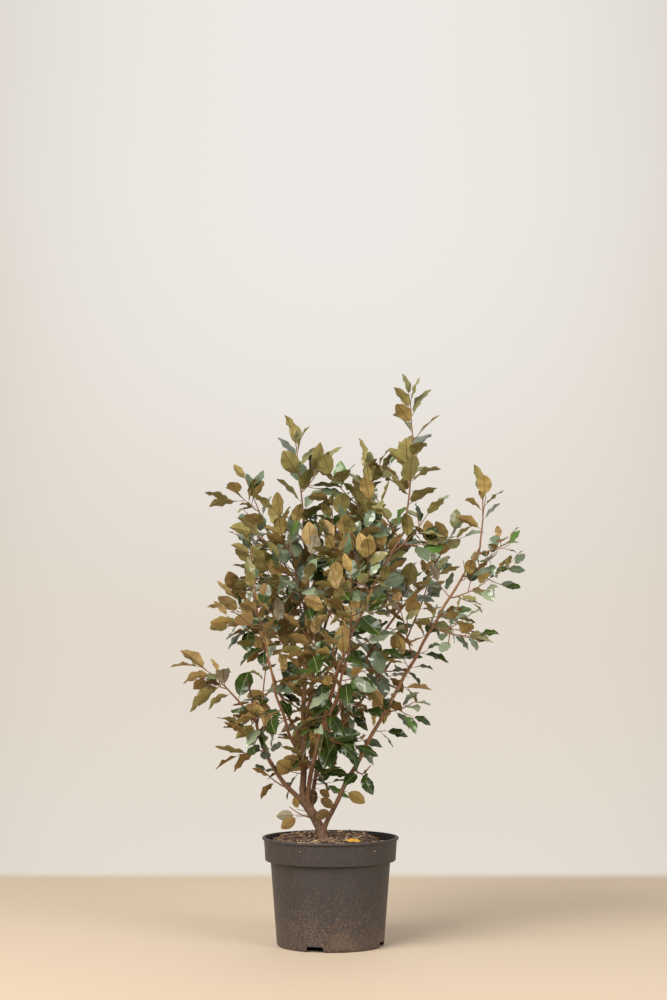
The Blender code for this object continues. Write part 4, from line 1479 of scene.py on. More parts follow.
@dataclass
class Pot:
    """The round nursery pot: a tapering body, a step out to a wide band, and a turned lip."""

    height: float = 0.205
    lip_radius: float = 0.131
    lip_height: float = 0.0035
    band_top: float = 0.1275
    band_foot: float = 0.1255
    band_height: float = 0.043
    step_height: float = 0.006
    body_top: float = 0.1145
    body_foot: float = 0.1025
    foot_rounding: float = 0.005
    wall: float = 0.0022
    hollow: float = 0.0006
    notch_count: int = 4
    notch_heading: float = math.radians(255)
    notch_width: float = 0.038
    notch_height: float = 0.0105
    notch_depth: float = 0.012
    notch_slant: float = 0.62
    overshoot: float = 0.01
    steps: int = 128
    sharp: float = 28.0

    def profile(self) -> list[Pair]:
        """The pot's section.

        Returns:
            Radius and height, from the middle of its underside round to the middle of its floor.
        """
        ledge = self.height - self.band_height
        step = ledge - self.step_height
        wall = self.wall
        return rounded(
            (
                (0.0, self.hollow, 0.0),
                (self.body_foot - 0.012, self.hollow, 0.001),
                (self.body_foot - 0.010, 0.0, 0.001),
                (self.body_foot, 0.0, self.foot_rounding),
                (self.body_top, step - wall / 2, 0.0012),
                (self.body_top + 0.6 * wall, ledge - 0.0022, 0.002),
                (self.band_foot - 0.0004, ledge - 0.0012, 0.0016),
                (self.band_top, self.height - 1.9 * self.lip_height, 0.0012),
                (self.lip_radius, self.height - 1.1 * self.lip_height, 0.0009),
                (self.lip_radius, self.height, 0.0014),
                (self.band_top - wall, self.height, 0.0009),
                (self.band_foot - wall, ledge + wall / 2, 0.0012),
                (self.body_top - wall, step, 0.0012),
                (self.body_foot - wall, wall, 0.003),
                (0.0, wall, 0.0),
            )
        )

    def build(self) -> None:
        """Turns the pot, cuts its drain notches and paints shade on its inner walls."""
        body = turned(self.profile(), self.steps)
        shell = new_object("pot_turned", mesh_from(body, "pot_turned", self.sharp))
        notches = [self.notch(number) for number in range(self.notch_count)]
        for notch in notches:
            cut = shell.modifiers.new(notch.name, "BOOLEAN")
            cut.operation = "DIFFERENCE"
            cut.object = notch
        piece = settled(shell, "nursery_pot")
        for notch in notches:
            bpy.data.objects.remove(notch)
        piece.data.set_sharp_from_angle(angle=math.radians(self.sharp))
        piece.data.materials.clear()
        for material in materials(PLASTICS):
            piece.data.materials.append(material)
        # Inward faces of the wall take the second, near-black finish: painted shade inside the pot.
        for face in piece.data.polygons:
            middle = Vector((face.center.x, face.center.y, 0.0))
            inward = face.normal.dot(middle.normalized()) < -0.5
            face.material_index = 1 if inward and middle.length > self.body_foot else 0
        carried(piece, "pot", "pot")

    def notch(self, number: int) -> Object:
        """Makes one drain notch's cutter: a block across the foot, narrower at its top on one side.

        Args:
            number: Which notch it is.

        Returns:
            The cutter.
        """
        shape = bmesh.new()
        bmesh.ops.create_cube(shape, size=1)
        depth, height = self.notch_depth + self.overshoot, self.notch_height + self.overshoot
        for corner in shape.verts:
            across = corner.co.y * self.notch_width
            if corner.co.z > 0 and across > 0:
                across *= self.notch_slant
            corner.co = (corner.co.x * depth, across, (corner.co.z + 0.5) * height - self.overshoot)
        notch = new_object(f"notch_{number}", plain_mesh(shape, f"notch_{number}"))
        middle = self.body_foot + (self.overshoot - self.notch_depth) / 2
        heading = self.notch_heading + math.tau * number / self.notch_count
        notch.matrix_world = Matrix.Rotation(heading, 4, "Z") @ Matrix.Translation((middle, 0, 0))
        notch.hide_render = True
        return notch


# Leaf shapes


class Side(IntEnum):
    """The parts of a leaf that differ in colour."""

    UPPER = 0
    UNDER = 1
    UPPER_RIB = 2
    UNDER_RIB = 3
    STALK = 4


@dataclass(frozen=True)
class Blade:
    """One leaf shape, one unit long, which points along +X from its root at the origin and faces +Z.

    COLUMNS has the faces between one corner of a section and the next: which of the two corners is on
    the margin, if either, and which part of the leaf the faces belong to. Upper and lower faces are split
    along the same diagonals, so that neither shows through the other.
    """

    COLUMNS = (
        (0, Side.UPPER),
        (None, Side.UPPER_RIB),
        (3, Side.UPPER),
        (3, Side.UNDER),
        (None, Side.UNDER_RIB),
        (0, Side.UNDER),
    )

    width: float
    fold: float
    curl: float
    wave: float
    phase: float
    point: float = 0.22
    teeth: float = 0.020
    teeth_turns: float = 9.4
    base_fullness: float = 0.60
    base_skew: float = 0.92
    wave_shift: float = 0.9
    waves: float = 2.5
    stalk: float = 0.13
    stalk_radius: float = 0.011
    rib: float = 0.010
    thickness: float = 0.014
    stations: tuple[float, ...] = (0.07, 0.19, 0.32, 0.45, 0.58, 0.71, 0.84, 0.94)

    def half_width(self, share: float) -> float:
        """Half the blade's width, rounded at its base and pointed at its tip.

        Args:
            share: The share of the blade's length.

        Returns:
            The half width.
        """
        fullness = self.base_fullness + self.point * share
        tooth = 1 + self.teeth * math.sin(self.phase + self.teeth_turns * share * self.waves)
        return self.width * tooth * math.sin(math.pi * share**self.base_skew) ** fullness

    def spot(self, share: float, across: float, above: float) -> Vector:
        """A point of the blade.

        Args:
            share: Its share of the blade's length.
            across: -1 and 1 at the margins, 0 on the midrib.
            above: 1 on the upper face, -1 on the underside.

        Returns:
            The point.
        """
        y = self.half_width(share) * across
        x = self.stalk + (1 - self.stalk) * share
        shift = self.wave_shift if across > 0 else 0.0
        ripple = math.sin(math.tau * self.waves * share + self.phase + shift)
        z = abs(y) * math.tan(self.fold) + self.wave * ripple * across * across * math.sin(math.pi * share)
        # The curl is 0 at the root and highest at 0.35 of the length.
        z += self.curl * (0.25 - (share - 0.35) ** 2) - self.curl * 0.1275
        z += above * self.thickness / 2
        return Vector((x, y, z))

    def mesh(self, name: str) -> Mesh:
        """Builds the leaf with a "side" on each face.

        Args:
            name: The mesh's name.

        Returns:
            A closed mesh of a few dozen faces.
        """
        shape = bmesh.new()
        layer = shape.faces.layers.int.new("side")
        base = shape.verts.new(self.spot(0.0, 0.0, 0.0))
        tip = shape.verts.new(self.spot(1.0, 0.0, 0.0))
        rows = [self.row(shape, share) for share in self.stations]
        faces: list[tuple[tuple[BMVert, ...], Side]] = []
        for k, (outer, side) in enumerate(self.COLUMNS):
            after = (k + 1) % len(self.COLUMNS)
            faces.append(((base, rows[0][after], rows[0][k]), side))
            faces.append(((tip, rows[-1][k], rows[-1][after]), side))
            for low, high in zip(rows, rows[1:]):
                if outer is None:
                    faces.append(((low[k], low[after], high[after], high[k]), side))
                elif outer == k:
                    faces.append(((low[k], low[after], high[k]), side))
                    faces.append(((low[after], high[after], high[k]), side))
                else:
                    faces.append(((low[k], low[after], high[after]), side))
                    faces.append(((low[k], high[after], high[k]), side))
        faces += self.stalk_faces(shape)
        made = [(shape.faces.new(corners), side) for corners, side in faces]
        bmesh.ops.recalc_face_normals(shape, faces=shape.faces)
        for face, side in made:
            face[layer] = int(side)
        return mesh_from(shape, name, 75)

    def row(self, shape: BMesh, share: float) -> list[BMVert]:
        """Makes the corners round one section.

        Args:
            shape: The bmesh to add them to.
            share: The section's share of the blade's length.

        Returns:
            The corners, over the upper face from margin to margin, and back underneath.
        """
        rib = self.rib / self.half_width(share)
        above = [(-1.0, 0.0), (-rib, 0.8), (rib, 0.8), (1.0, 0.0)]
        below = [(rib, -2.0), (-rib, -2.0)]
        return [shape.verts.new(self.spot(share, across, lift)) for across, lift in above + below]

    def stalk_faces(self, shape: BMesh) -> list[tuple[tuple[BMVert, ...], Side]]:
        """Makes the corners of the three-sided stalk, from the leaf's root to inside the blade's base.

        Args:
            shape: The bmesh to add them to.

        Returns:
            The corners and the side of each face.
        """
        ends = [
            [
                shape.verts.new(at + Vector((0, math.cos(a), math.sin(a))) * self.stalk_radius)
                for a in (0.5, 0.5 + math.tau / 3, 0.5 + 2 * math.tau / 3)
            ]
            for at in (Vector((0, 0, 0)), self.spot(0.03, 0.0, 0.0))
        ]
        faces = [(tuple(reversed(ends[0])), Side.STALK), (tuple(ends[1]), Side.STALK)]
        for k in range(3):
            after = (k + 1) % 3
            faces.append(((ends[0][k], ends[0][after], ends[1][after], ends[1][k]), Side.STALK))
        return faces


BLADES = (
    Blade(0.205, 0.26, 0.46, 0.060, 3.0, 0.44, 0.05),
    Blade(0.215, 0.38, 0.10, 0.058, 3.7, 0.36, 0.05),
    Blade(0.225, 0.16, 0.34, 0.054, 1.4, 0.30, 0.04),
    Blade(0.240, 0.30, 0.22, 0.048, 0.0, 0.34, 0.04),
    Blade(0.250, -0.08, 0.30, 0.046, 5.4, 0.28),
    Blade(0.262, 0.22, -0.16, 0.042, 4.6, 0.18),
    Blade(0.275, 0.12, 0.26, 0.038, 0.8, 0.16),
    Blade(0.288, 0.08, 0.14, 0.032, 2.3, 0.10),
)
FALLEN_BLADE = Blade(0.24, 0.10, 0.10, 0.035, 1.2)


# Compost


@dataclass(frozen=True)
class Litter:
    """One kind of litter on the compost.

    The block is its splinters' proportions, and the density is how many lie in a square metre.
    """

    name: str
    splinter: str
    kinds: int
    block: Triple
    lengths: Pair
    density: float
    seed: int
    finishes: tuple[Finish, ...]

    def splinters(self) -> list[Mesh]:
        """The splinters to copy, each about one unit long."""
        labels = [f"{self.splinter} {number}" for number in range(self.kinds)]
        return [chip(label.replace(" ", "_"), random.Random(label), *self.block) for label in labels]


@dataclass(frozen=True)
class FallenLeaf:
    """A leaf that lies on the mulch.

    Its spot has its height above the compost, and its heading is in degrees.
    """

    name: str
    spot: Triple
    heading: float
    length: float
    colour: Colour


@dataclass
class Compost:
    """The compost under a mulch of chipped bark, straw and crumbs, heaped round the trunk.

    Pairs that end in "edge" are where a rise starts and where it is whole.
    """

    radius: float = 0.1231
    rim_height: float = 0.188
    heap_height: float = 0.199
    heap_radius: float = 0.040
    heap_x: float = -0.0135
    depth: float = 0.020
    lumps_per_metre: float = 60.0
    lump_height: float = 0.0028
    clump_spot: Pair = (0.060, 0.060)
    clump_height: float = 0.006
    clump_spread: float = 0.0004
    back_rise: float = 0.011
    front_edge: Pair = (-0.02, 0.06)
    right_edge: Pair = (0.098, 0.060)
    left_edge: Pair = (-0.118, -0.085)
    rings: int = 64
    spokes: int = 168
    steepest: float = 0.3
    tilt: float = 0.45
    leaf_tilt: float = math.radians(16)
    litter: tuple[Litter, ...] = (
        Litter("bark_mulch", "chip", 6, (1.0, 0.48, 0.17), (0.005, 0.014), 16000.0, 11, CHIPS),
        Litter("straw", "sliver", 4, (1.0, 0.075, 0.04), (0.012, 0.032), 5200.0, 23, STRAWS),
        Litter("crumbs", "crumb", 4, (0.9, 0.8, 0.6), (0.0018, 0.0042), 42000.0, 37, CRUMBS),
    )
    fallen: tuple[FallenLeaf, ...] = (
        FallenLeaf("fallen_leaf", (0.026, -0.045, 0.005), 12.0, 0.034, (0.520, 0.280, 0.030)),
        FallenLeaf("withered_leaf", (0.046, 0.020, 0.004), 60.0, 0.020, (0.300, 0.140, 0.060)),
    )

    def height(self, x: float, y: float) -> float:
        """The height of the compost's top.

        Args:
            x: The point's place to the right.
            y: The point's place to the back.

        Returns:
            The height above the pot's underside.
        """
        reach = math.hypot(x - self.heap_x, y)
        share = min(1.0, max(0.0, (reach - self.heap_radius) / (self.radius - self.heap_radius)))
        heap = self.heap_height + (self.rim_height - self.heap_height) * share
        lumps = noise.fractal(Vector((x, y, 0.3)) * self.lumps_per_metre, 1.0, 2.2, 4)
        away = (x - self.clump_spot[0]) ** 2 + (y - self.clump_spot[1]) ** 2
        clump = self.clump_height * math.exp(-away / self.clump_spread)
        back = eased(y, *self.front_edge) * eased(x, *self.right_edge) * eased(x, *self.left_edge)
        return heap + self.back_rise * back + self.lump_height * lumps + clump

    def surface(self) -> BMesh:
        """A closed cap.

        Returns:
            The lumpy top, a short side and a flat underside.
        """
        shape = bmesh.new()
        middle = shape.verts.new((0.0, 0.0, self.height(0.0, 0.0)))
        rows = []
        for ring in range(1, self.rings + 1):
            reach = self.radius * ring / self.rings
            row = []
            for spoke in range(self.spokes):
                angle = math.tau * spoke / self.spokes
                x, y = reach * math.cos(angle), reach * math.sin(angle)
                row.append(shape.verts.new((x, y, self.height(x, y))))
            rows.append(row)
        low = [shape.verts.new((v.co.x, v.co.y, self.rim_height - self.depth)) for v in rows[-1]]
        rows.append(low)
        for k in range(self.spokes):
            after = (k + 1) % self.spokes
            shape.faces.new((middle, rows[0][k], rows[0][after]))
            for inner, outer in zip(rows, rows[1:]):
                shape.faces.new((inner[k], outer[k], outer[after], inner[after]))
        shape.faces.new(list(reversed(low)))
        return shape

    def build(self) -> None:
        """Builds the compost, strews the mulch on it and lays the fallen leaves down."""
        ground = new_object("compost", mesh_from(self.surface(), "compost", 60), [COMPOST])
        strewn = [self.strewn(ground, litter) for litter in self.litter]
        carried(ground, "soil", "soil")
        for piece in (*strewn, *(self.fallen_leaf(leaf) for leaf in self.fallen)):
            carried(piece, "soil")

    def strewn(self, ground: Object, litter: Litter) -> Object:
        """Strews one kind of litter over the compost with geometry nodes.

        Args:
            ground: The compost.
            litter: What to strew.

        Returns:
            The joined splinters as one plain mesh.
        """
        inputs = {
            "Compost": ("NodeSocketObject", ground),
            "Density": ("NodeSocketFloat", litter.density),
            "Shortest": ("NodeSocketFloat", litter.lengths[0]),
            "Longest": ("NodeSocketFloat", litter.lengths[1]),
            "Seed": ("NodeSocketInt", litter.seed),
        }
        recipe = Recipe(litter.name, inputs, litter.splinters())
        graph, given = recipe.graph, recipe.given
        base = graph.add("GeometryNodeObjectInfo", {}, {"Object": given["Compost"]}, "Geometry")
        lift = graph.part(graph.add("GeometryNodeInputNormal", {}, {}), "Z")
        top = graph.add("FunctionNodeCompare", {"data_type": "FLOAT"}, {"A": lift, "B": self.steepest})
        spots = graph.add(
            "GeometryNodeDistributePointsOnFaces",
            {"distribute_method": "RANDOM"},
            {"Mesh": base, "Selection": top, "Density": given["Density"], "Seed": given["Seed"]},
            "Points",
        )
        size = recipe.drawn("FLOAT", given["Shortest"], given["Longest"])
        turn = recipe.drawn("FLOAT_VECTOR", (-self.tilt, -self.tilt, 0.0), (self.tilt, self.tilt, math.tau))
        pick = recipe.drawn("INT", 0, litter.kinds - 1)
        tinted = graph.add(
            "GeometryNodeStoreNamedAttribute",
            {"data_type": "INT", "domain": "INSTANCE"},
            {
                "Geometry": recipe.copies(spots, pick, turn, size),
                "Name": "tint",
                "Value": recipe.drawn("INT", 0, len(litter.finishes) - 1),
            },
        )
        return recipe.run(recipe.painted(recipe.real(tinted), "tint", materials(litter.finishes)))

    def fallen_leaf(self, leaf: FallenLeaf) -> Object:
        """Lays one leaf on the mulch.

        Args:
            leaf: The leaf.

        Returns:
            Its piece.
        """
        mesh = FALLEN_BLADE.mesh(leaf.name)
        spot = Vector(leaf.spot)
        lifted = Vector((spot.x, spot.y, self.height(spot.x, spot.y) + spot.z))
        heading = Matrix.Rotation(math.radians(leaf.heading), 4, "Z")
        turn = heading @ Matrix.Rotation(self.leaf_tilt, 4, "X")
        mesh.transform(Matrix.Translation(lifted) @ turn @ Matrix.Scale(leaf.length, 4))
        skin = Scurfy(leaf.name + "_skin", leaf.colour, 0.55, mottling=0.5)
        rib = Scurfy(leaf.name + "_rib", tuple(0.55 * part for part in leaf.colour), 0.60)
        piece = new_object(leaf.name, mesh, [skin, rib])
        for face, side in zip(mesh.polygons, mesh.attributes["side"].data):
            face.material_index = 0 if side.value in (Side.UPPER, Side.UNDER) else 1
        return piece


# Foliage


@dataclass
class Foliage:
    """The twigs and leaves of the whole crown."""

    growth: Growth
    twig_sides: int = 6
    twig_step: float = 0.012

    def build(self) -> None:
        """Grows every spray and makes its twigs and leaves."""
        masses = all_sprays()
        for lone in LONE_LEAVES:
            self.growth.grow_lone_leaf(lone)
        for spray in masses:
            self.growth.grow(spray)
        for limb in LIMBS:
            self.growth.grow_spurs(limb)
        total = sum(len(leaves) for leaves in self.growth.leaves.values())
        LOG.info("%d leaves on %d stems and twigs", total, len(self.growth.twigs))
        self.twigs()
        skins = [materials(kind) for kind in (UPPER_FINISHES, UNDER_FINISHES, RIB_FINISHES)]
        for limb in self.growth.lines:
            nodes = [spray.name for spray in masses if spray.limb == limb]
            self.leaves(limb, nodes, skins)

    def leaves(self, limb: str, nodes: list[str], skins: list[list[Material]]) -> None:
        """Sets a limb's leaves on their roots with geometry nodes.

        Args:
            limb: The limb that bears them.
            nodes: The CAD masses that they stand for.
            skins: The materials of the upper faces, of the undersides, and of the ribs and stalk.
        """
        places = self.growth.leaves[limb]
        name = f"{limb}_leaves"
        mesh = bpy.data.meshes.new(name + "_roots")
        mesh.from_pydata([leaf.root for leaf in places], [], [])
        self.store(mesh, "turn", "FLOAT_VECTOR", [tuple(leaf.turn().to_euler()) for leaf in places])
        sizes = [leaf.length * Vector((1.0, leaf.breadth, 1.0)) for leaf in places]
        self.store(mesh, "size", "FLOAT_VECTOR", sizes)
        for choice in ("shape", "upper", "under"):
            self.store(mesh, choice, "INT", [int(getattr(leaf, choice)) for leaf in places])
        recipe = Recipe(name, {}, [blade.mesh(f"blade_{number}") for number, blade in enumerate(BLADES)])
        turn, size = recipe.stored("FLOAT_VECTOR", "turn"), recipe.stored("FLOAT_VECTOR", "size")
        copies = recipe.copies(recipe.given["Geometry"], recipe.stored("INT", "shape"), turn, size)
        dressed = recipe.painted(recipe.real(copies), "upper", skins[0], side=Side.UPPER)
        dressed = recipe.painted(dressed, "under", skins[1], side=Side.UNDER)
        dressed = recipe.painted(dressed, "side", skins[2], first=Side.UPPER_RIB)
        carried(recipe.run(dressed, mesh), "foliage", *nodes)

    @staticmethod
    def store(mesh: Mesh, name: str, kind: str, values: list[Any]) -> None:
        """Keeps one value for each point of a mesh.

        Args:
            mesh: The mesh.
            name: The attribute's name.
            kind: Its type.
            values: The values in the points' order.
        """
        attribute = mesh.attributes.new(name, kind, "POINT")
        part = "vector" if kind == "FLOAT_VECTOR" else "value"
        for spot, value in zip(attribute.data, values):
            setattr(spot, part, value)

    def twigs(self) -> None:
        """Makes every stem and twig as a tapering tube with geometry nodes."""
        points, edges, radii = [], [], []
        for stem in self.growth.twigs:
            steps = max(4, round(stem.length() / self.twig_step))
            for k in range(steps + 1):
                if k:
                    edges.append((len(points) - 1, len(points)))
                points.append(stem.point(k / steps))
                radii.append(stem.radius(k / steps))
        mesh = bpy.data.meshes.new("twig_lines")
        mesh.from_pydata(points, edges, [])
        self.store(mesh, "thick", "FLOAT", radii)
        recipe = Recipe("twigs", {"Sides": ("NodeSocketInt", self.twig_sides)})
        graph, given = recipe.graph, recipe.given
        line = graph.add("GeometryNodeMeshToCurve", {}, {"Mesh": given["Geometry"]})
        sockets = {"Resolution": given["Sides"], "Radius": 1.0}
        ring = graph.add("GeometryNodeCurvePrimitiveCircle", {}, sockets)
        thick = recipe.stored("FLOAT", "thick")
        sockets = {"Curve": line, "Profile Curve": ring, "Scale": thick, "Fill Caps": True}
        tube = recipe.real(graph.add("GeometryNodeCurveToMesh", {}, sockets))
        smooth = graph.add("GeometryNodeSetShadeSmooth", {}, {0: tube})
        sockets = {"Geometry": smooth, "Material": TWIG_BARK.material()}
        carried(recipe.run(graph.add("GeometryNodeSetMaterial", {}, sockets), mesh), "boughs")


# Trunk and boughs


@dataclass
class Timber:
    """The trunk and boughs, as tubes with the bark's relief.

    Depths are shares of a tube's own radius. A joint's numbers are shares of its carrier's radius.
    """

    trunk_sides: int = 40
    trunk_step: float = 0.0014
    trunk_depth: float = 0.075
    bough_sides: int = 18
    bough_step: float = 0.0030
    bough_depth: float = 0.05
    ridges: float = 3.0
    ridges_per_metre: float = 90.0
    lumps_per_metre: float = 45.0
    lump_depth: float = 0.05
    bud_spacing: float = 0.029
    bud_width: float = 0.0022
    bud_depth: float = 0.10
    most_flare: float = 1.3
    buried: float = 0.005
    swelling: float = 0.55
    joint_sink: float = 1.5
    joint_reach: float = 2.6
    joint_pull: float = 0.9
    swollen_reach: float = 0.9
    widest_foot: float = 0.98
    stub_share: float = 0.97
    stub_reach: Vector = Vector((-0.019, 0.002, 0.092))
    stub_lift: float = 0.004
    stub_radius: float = 0.0021
    stub_wander: float = 0.003
    stub_sides: int = 10
    stub_depth: float = 0.09
    stub_seed: float = 61.0

    def trunk_radius(self, height: float) -> float:
        """The trunk's radius, which widens at the root flare.

        Args:
            height: The height above its foot.

        Returns:
            The radius.
        """
        flare = max(0.0, 1 - height / FLARE_HEIGHT)
        share = min(1.0, max(0.0, height / (TRUNK_TIP.z - TRUNK_FOOT.z)))
        plain = TRUNK_RADIUS + (TRUNK_TIP_RADIUS - TRUNK_RADIUS) * share
        return plain + (FLARE_RADIUS - TRUNK_RADIUS) * min(self.most_flare, flare * flare)

    def build(self, lines: dict[str, Stem]) -> list[BVHTree]:
        """Makes the trunk, the boughs and the pruned stub.

        Args:
            lines: The limbs' lines by name.

        Returns:
            Trees of the trunk's and boughs' faces, for the leaves to keep clear of.
        """
        shape = bmesh.new()
        self.tube(shape, self.trunk_line(lines["trunk"]), self.trunk_sides, self.trunk_depth, 0.0)
        trunk = new_object("trunk_bark", mesh_from(shape, "trunk_bark", 80), [TRUNK_BARK])
        shape = bmesh.new()
        for number, limb in enumerate(LIMBS):
            course = self.bough_line(limb, lines[limb.carrier], lines[limb.name])
            self.tube(shape, course, self.bough_sides, self.bough_depth, 5.0 * number + 3)
        boughs = new_object("bough_bark", mesh_from(shape, "bough_bark", 80), [BOUGH_BARK])
        trees = [
            BVHTree.FromPolygons(
                [corner.co.copy() for corner in piece.data.vertices],
                [tuple(face.vertices) for face in piece.data.polygons],
            )
            for piece in (trunk, boughs)
        ]
        carried(trunk, "trunk", "trunk")
        carried(boughs, "boughs", *(limb.name + "_bough" for limb in LIMBS))
        self.stub(lines["low_left"])
        return trees

    def stub(self, line: Stem) -> None:
        """Makes the dead stub that is left of a shoot cut off above the low left bough's fork.

        Args:
            line: The low left bough's line.
        """
        foot = line.point(self.stub_share)
        bend = foot + self.stub_reach * 0.5 + UP * self.stub_lift
        rod = Stem(foot, bend, foot + self.stub_reach, 0, 0, self.stub_wander)
        steps = round(rod.length() / self.bough_step)
        points = [rod.point(k / steps) for k in range(steps + 1)]
        course = points, [self.stub_radius] * len(points)
        shape = bmesh.new()
        self.tube(shape, course, self.stub_sides, self.stub_depth, self.stub_seed)
        carried(new_object("pruned_stub", mesh_from(shape, "pruned_stub", 60), [DEAD_BARK]), "boughs")

    def trunk_line(self, line: Stem) -> Course:
        """The trunk's course, from just under the compost to inside its leading bough.

        Args:
            line: The trunk's line.

        Returns:
            Its points and the radius at each.
        """
        steps = round(line.length() / self.trunk_step)
        points = [line.foot - UP * (self.buried * (3 - k) / 3) for k in range(3)]
        points += [line.point(k / steps) for k in range(steps + 1)]
        radii = [self.trunk_radius(point.z - line.foot.z) for point in points]
        return points, radii

    def bough_line(self, limb: Limb, carrier: Stem, line: Stem) -> Course:
        """A bough's course, with a swollen foot that starts inside its carrier.

        Args:
            limb: The bough.
            carrier: The line of the limb that bears it.
            line: Its own line.

        Returns:
            Its points and the radius at each.
        """
        steps = round(line.length() / self.bough_step)
        inside = carrier.radius(limb.share)
        start = carrier.point(limb.share) - carrier.tangent(limb.share) * (self.joint_sink * inside)
        join = max(3, round(self.joint_reach * inside / self.bough_step))
        points, radii = [], []
        for k in range(steps + 1):
            point = line.point(k / steps)
            if k < join:
                point = point.lerp(start, (1 - k / join) ** 2 * self.joint_pull)
            swell = 1 + self.swelling * math.exp(-k * self.bough_step / (self.swollen_reach * inside))
            points.append(point)
            radii.append(min(line.radius(k / steps) * swell, self.widest_foot * inside))
        return points, radii

    def tube(self, shape: BMesh, course: Course, sides: int, depth: float, seed: float) -> None:
        """Adds one closed tube whose surface has ridges, hollows and a ring at each old bud.

        Args:
            shape: The bmesh to add to.
            course: The points of its line and the radius at each.
            sides: The number of sides.
            depth: The relief's depth.
            seed: Sets this tube's pattern apart.
        """
        points, rows, travelled = course[0], [], 0.0
        side = sideways((points[1] - points[0]).normalized(), 0.0)
        for k, (point, radius) in enumerate(zip(*course)):
            ahead = points[min(k + 1, len(points) - 1)] - points[max(k - 1, 0)]
            along = ahead.normalized()
            side = (side - along * side.dot(along)).normalized()
            across = along.cross(side)
            if k:
                travelled += (point - points[k - 1]).length
            past = (travelled + 7 * seed) % self.bud_spacing
            bud = math.exp(-((min(past, self.bud_spacing - past) / self.bud_width) ** 2))
            row = []
            for j in range(sides):
                angle = math.tau * j / sides
                out = side * math.cos(angle) + across * math.sin(angle)
                rise = travelled * self.ridges_per_metre + out.z * self.ridges
                ridge = Vector((out.x * self.ridges, out.y * self.ridges + seed, rise))
                lump = Vector((out.x, out.y - seed, travelled * self.lumps_per_metre))
                swell = 1 + depth * noise.fractal(ridge, 1.0, 2.1, 3)
                swell += self.lump_depth * noise.noise(lump)
                row.append(shape.verts.new(point + out * radius * (swell + self.bud_depth * bud)))
            rows.append(row)
        for low, high in zip(rows, rows[1:]):
            for j in range(sides):
                after = (j + 1) % sides
                shape.faces.new((low[j], low[after], high[after], high[j]))
        shape.faces.new(list(reversed(rows[0])))
        shape.faces.new(rows[-1])


# Studio


@dataclass(frozen=True)
class Lamp:
    """A square soft light: where it stands, its side, power and tint, and whether it shows in gloss."""

    name: str
    spot: Triple
    size: float
    power: float
    tint: Colour
    glossy: bool = True


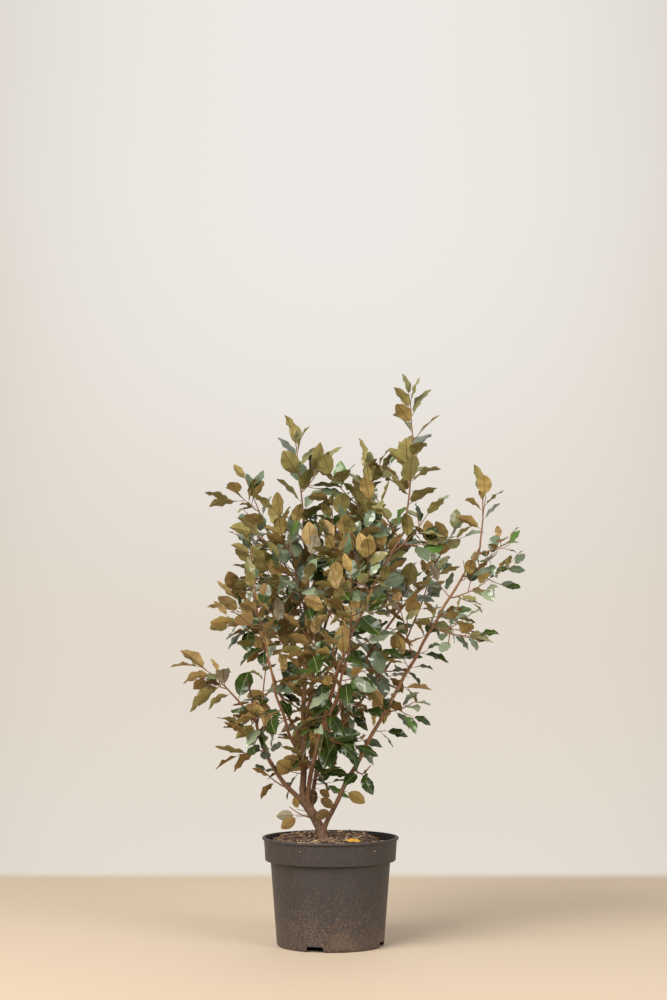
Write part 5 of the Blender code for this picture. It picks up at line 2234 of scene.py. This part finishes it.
@dataclass
class Studio:
    """The plain pale floor, the soft lights and the camera at the photograph's view.

    Pairs that end in "rise" are the slopes, from level, where a change starts and ends.
    """

    eye: Triple = (0.0058, -3.826, 0.595)
    pitch: float = 0.0673
    focal_pixels: float = 1973.6
    long_side: float = 1000.0
    sensor: float = 36.0
    view_depth: float = 50.0
    aim: Vector = Vector((0.0, 0.0, 0.5))
    lamps: tuple[Lamp, ...] = (
        Lamp("key", (-2.3, -2.8, 3.3), 3.0, 345.0, (1.0, 0.97, 0.92)),
        Lamp("fill", (2.6, -2.8, 1.9), 1.8, 100.0, (1.0, 0.98, 0.96)),
        Lamp("back", (0.6, 2.2, 2.2), 1.6, 14.0, (1.0, 0.98, 0.95), glossy=False),
    )
    backdrop: tuple[tuple[float, Colour], ...] = (
        (0.00, (0.790, 0.730, 0.655)),
        (0.30, (0.765, 0.690, 0.600)),
        (0.55, (0.775, 0.712, 0.640)),
        (0.80, (0.785, 0.740, 0.680)),
        (1.00, (0.760, 0.715, 0.665)),
    )
    backdrop_rise: Pair = (-0.15, 0.32)
    glow: Colour = (0.850, 0.826, 0.788)
    glow_rise: Pair = (-0.02, 0.22)
    half_view: float = 0.17
    vignette: float = 0.06
    backdrop_light: float = 1.0
    surround_light: float = 0.75
    floor_radius: float = 3.2
    floor_finish: Sweep = Sweep("studio_floor", (0.468, 0.376, 0.280), 0.75, fade_from=1.00, fade_to=1.16)

    def build(self) -> None:
        """Sets the floor, the lights, the backdrop and the camera."""
        self.floor()
        self.world()
        for lamp in self.lamps:
            self.light(lamp)
        self.camera()
        scene = bpy.context.scene
        scene.view_settings.view_transform = "Standard"
        scene.view_settings.look = "None"

    def floor(self) -> None:
        """Makes the round floor, which fades into the backdrop."""
        shape = bmesh.new()
        bmesh.ops.create_circle(shape, cap_ends=True, segments=96, radius=self.floor_radius)
        new_object("studio_floor", mesh_from(shape, "studio_floor"), [self.floor_finish])

    def world(self) -> None:
        """Makes the plain backdrop, which also lights the plant from all round."""
        world = bpy.data.worlds.new("studio")
        world.use_nodes = True
        bpy.context.scene.world = world
        graph = Graph(world.node_tree)
        lift = graph.part(graph.add("ShaderNodeTexCoord", {}, {}, "Generated"), "Z")
        low, high = self.backdrop_rise
        height = graph.add("ShaderNodeMapRange", {}, {"Value": lift, "From Min": low, "From Max": high})
        colour = graph.add("ShaderNodeValToRGB", {"stops": self.backdrop}, {0: height}, "Color")
        across = graph.add("ShaderNodeMath", {"operation": "ABSOLUTE"}, {0: lift.out("X")})
        across = graph.add("ShaderNodeMath", {"operation": "MINIMUM"}, {0: across / self.half_view, 1: 1.0})
        glow = (1 - across**2.0) * lift.eased(*self.glow_rise)
        colour = graph.tinted(graph.mix(colour, self.glow, glow), 1 - across**6.0 * self.vignette)
        seen = graph.add("ShaderNodeLightPath", {}, {}, "Is Camera Ray")
        strength = self.surround_light + seen * (self.backdrop_light - self.surround_light)
        graph.feed(world.node_tree.nodes["Background"], {"Color": colour, "Strength": strength})

    def light(self, lamp: Lamp) -> None:
        """Sets up one light, which faces the middle of the shrub.

        Args:
            lamp: The light.
        """
        made = bpy.data.lights.new(lamp.name, "AREA")
        made.size = lamp.size
        made.energy = lamp.power
        made.color = lamp.tint
        holder = new_object(lamp.name, made)
        holder.location = lamp.spot
        holder.rotation_euler = (self.aim - Vector(lamp.spot)).to_track_quat("-Z", "Y").to_euler()
        holder.visible_glossy = lamp.glossy

    def camera(self) -> None:
        """Sets up the camera that took the photograph."""
        lens = bpy.data.cameras.new("camera")
        lens.sensor_width = self.sensor
        lens.lens = self.sensor * self.focal_pixels / self.long_side
        lens.clip_end = self.view_depth
        holder = new_object("camera", lens)
        holder.location = self.eye
        holder.rotation_euler = (math.pi / 2 + self.pitch, 0.0, 0.0)
        bpy.context.scene.camera = holder


def main() -> None:
    """Builds each sub-assembly in order."""
    logging.basicConfig(level=logging.INFO, format="%(message)s")
    lines = limb_lines()
    Pot().build()
    Compost().build()
    trees = Timber().build(lines)
    Foliage(Growth(lines, Crowding(trees))).build()
    Studio().build()


if __name__ == "__main__":
    main()
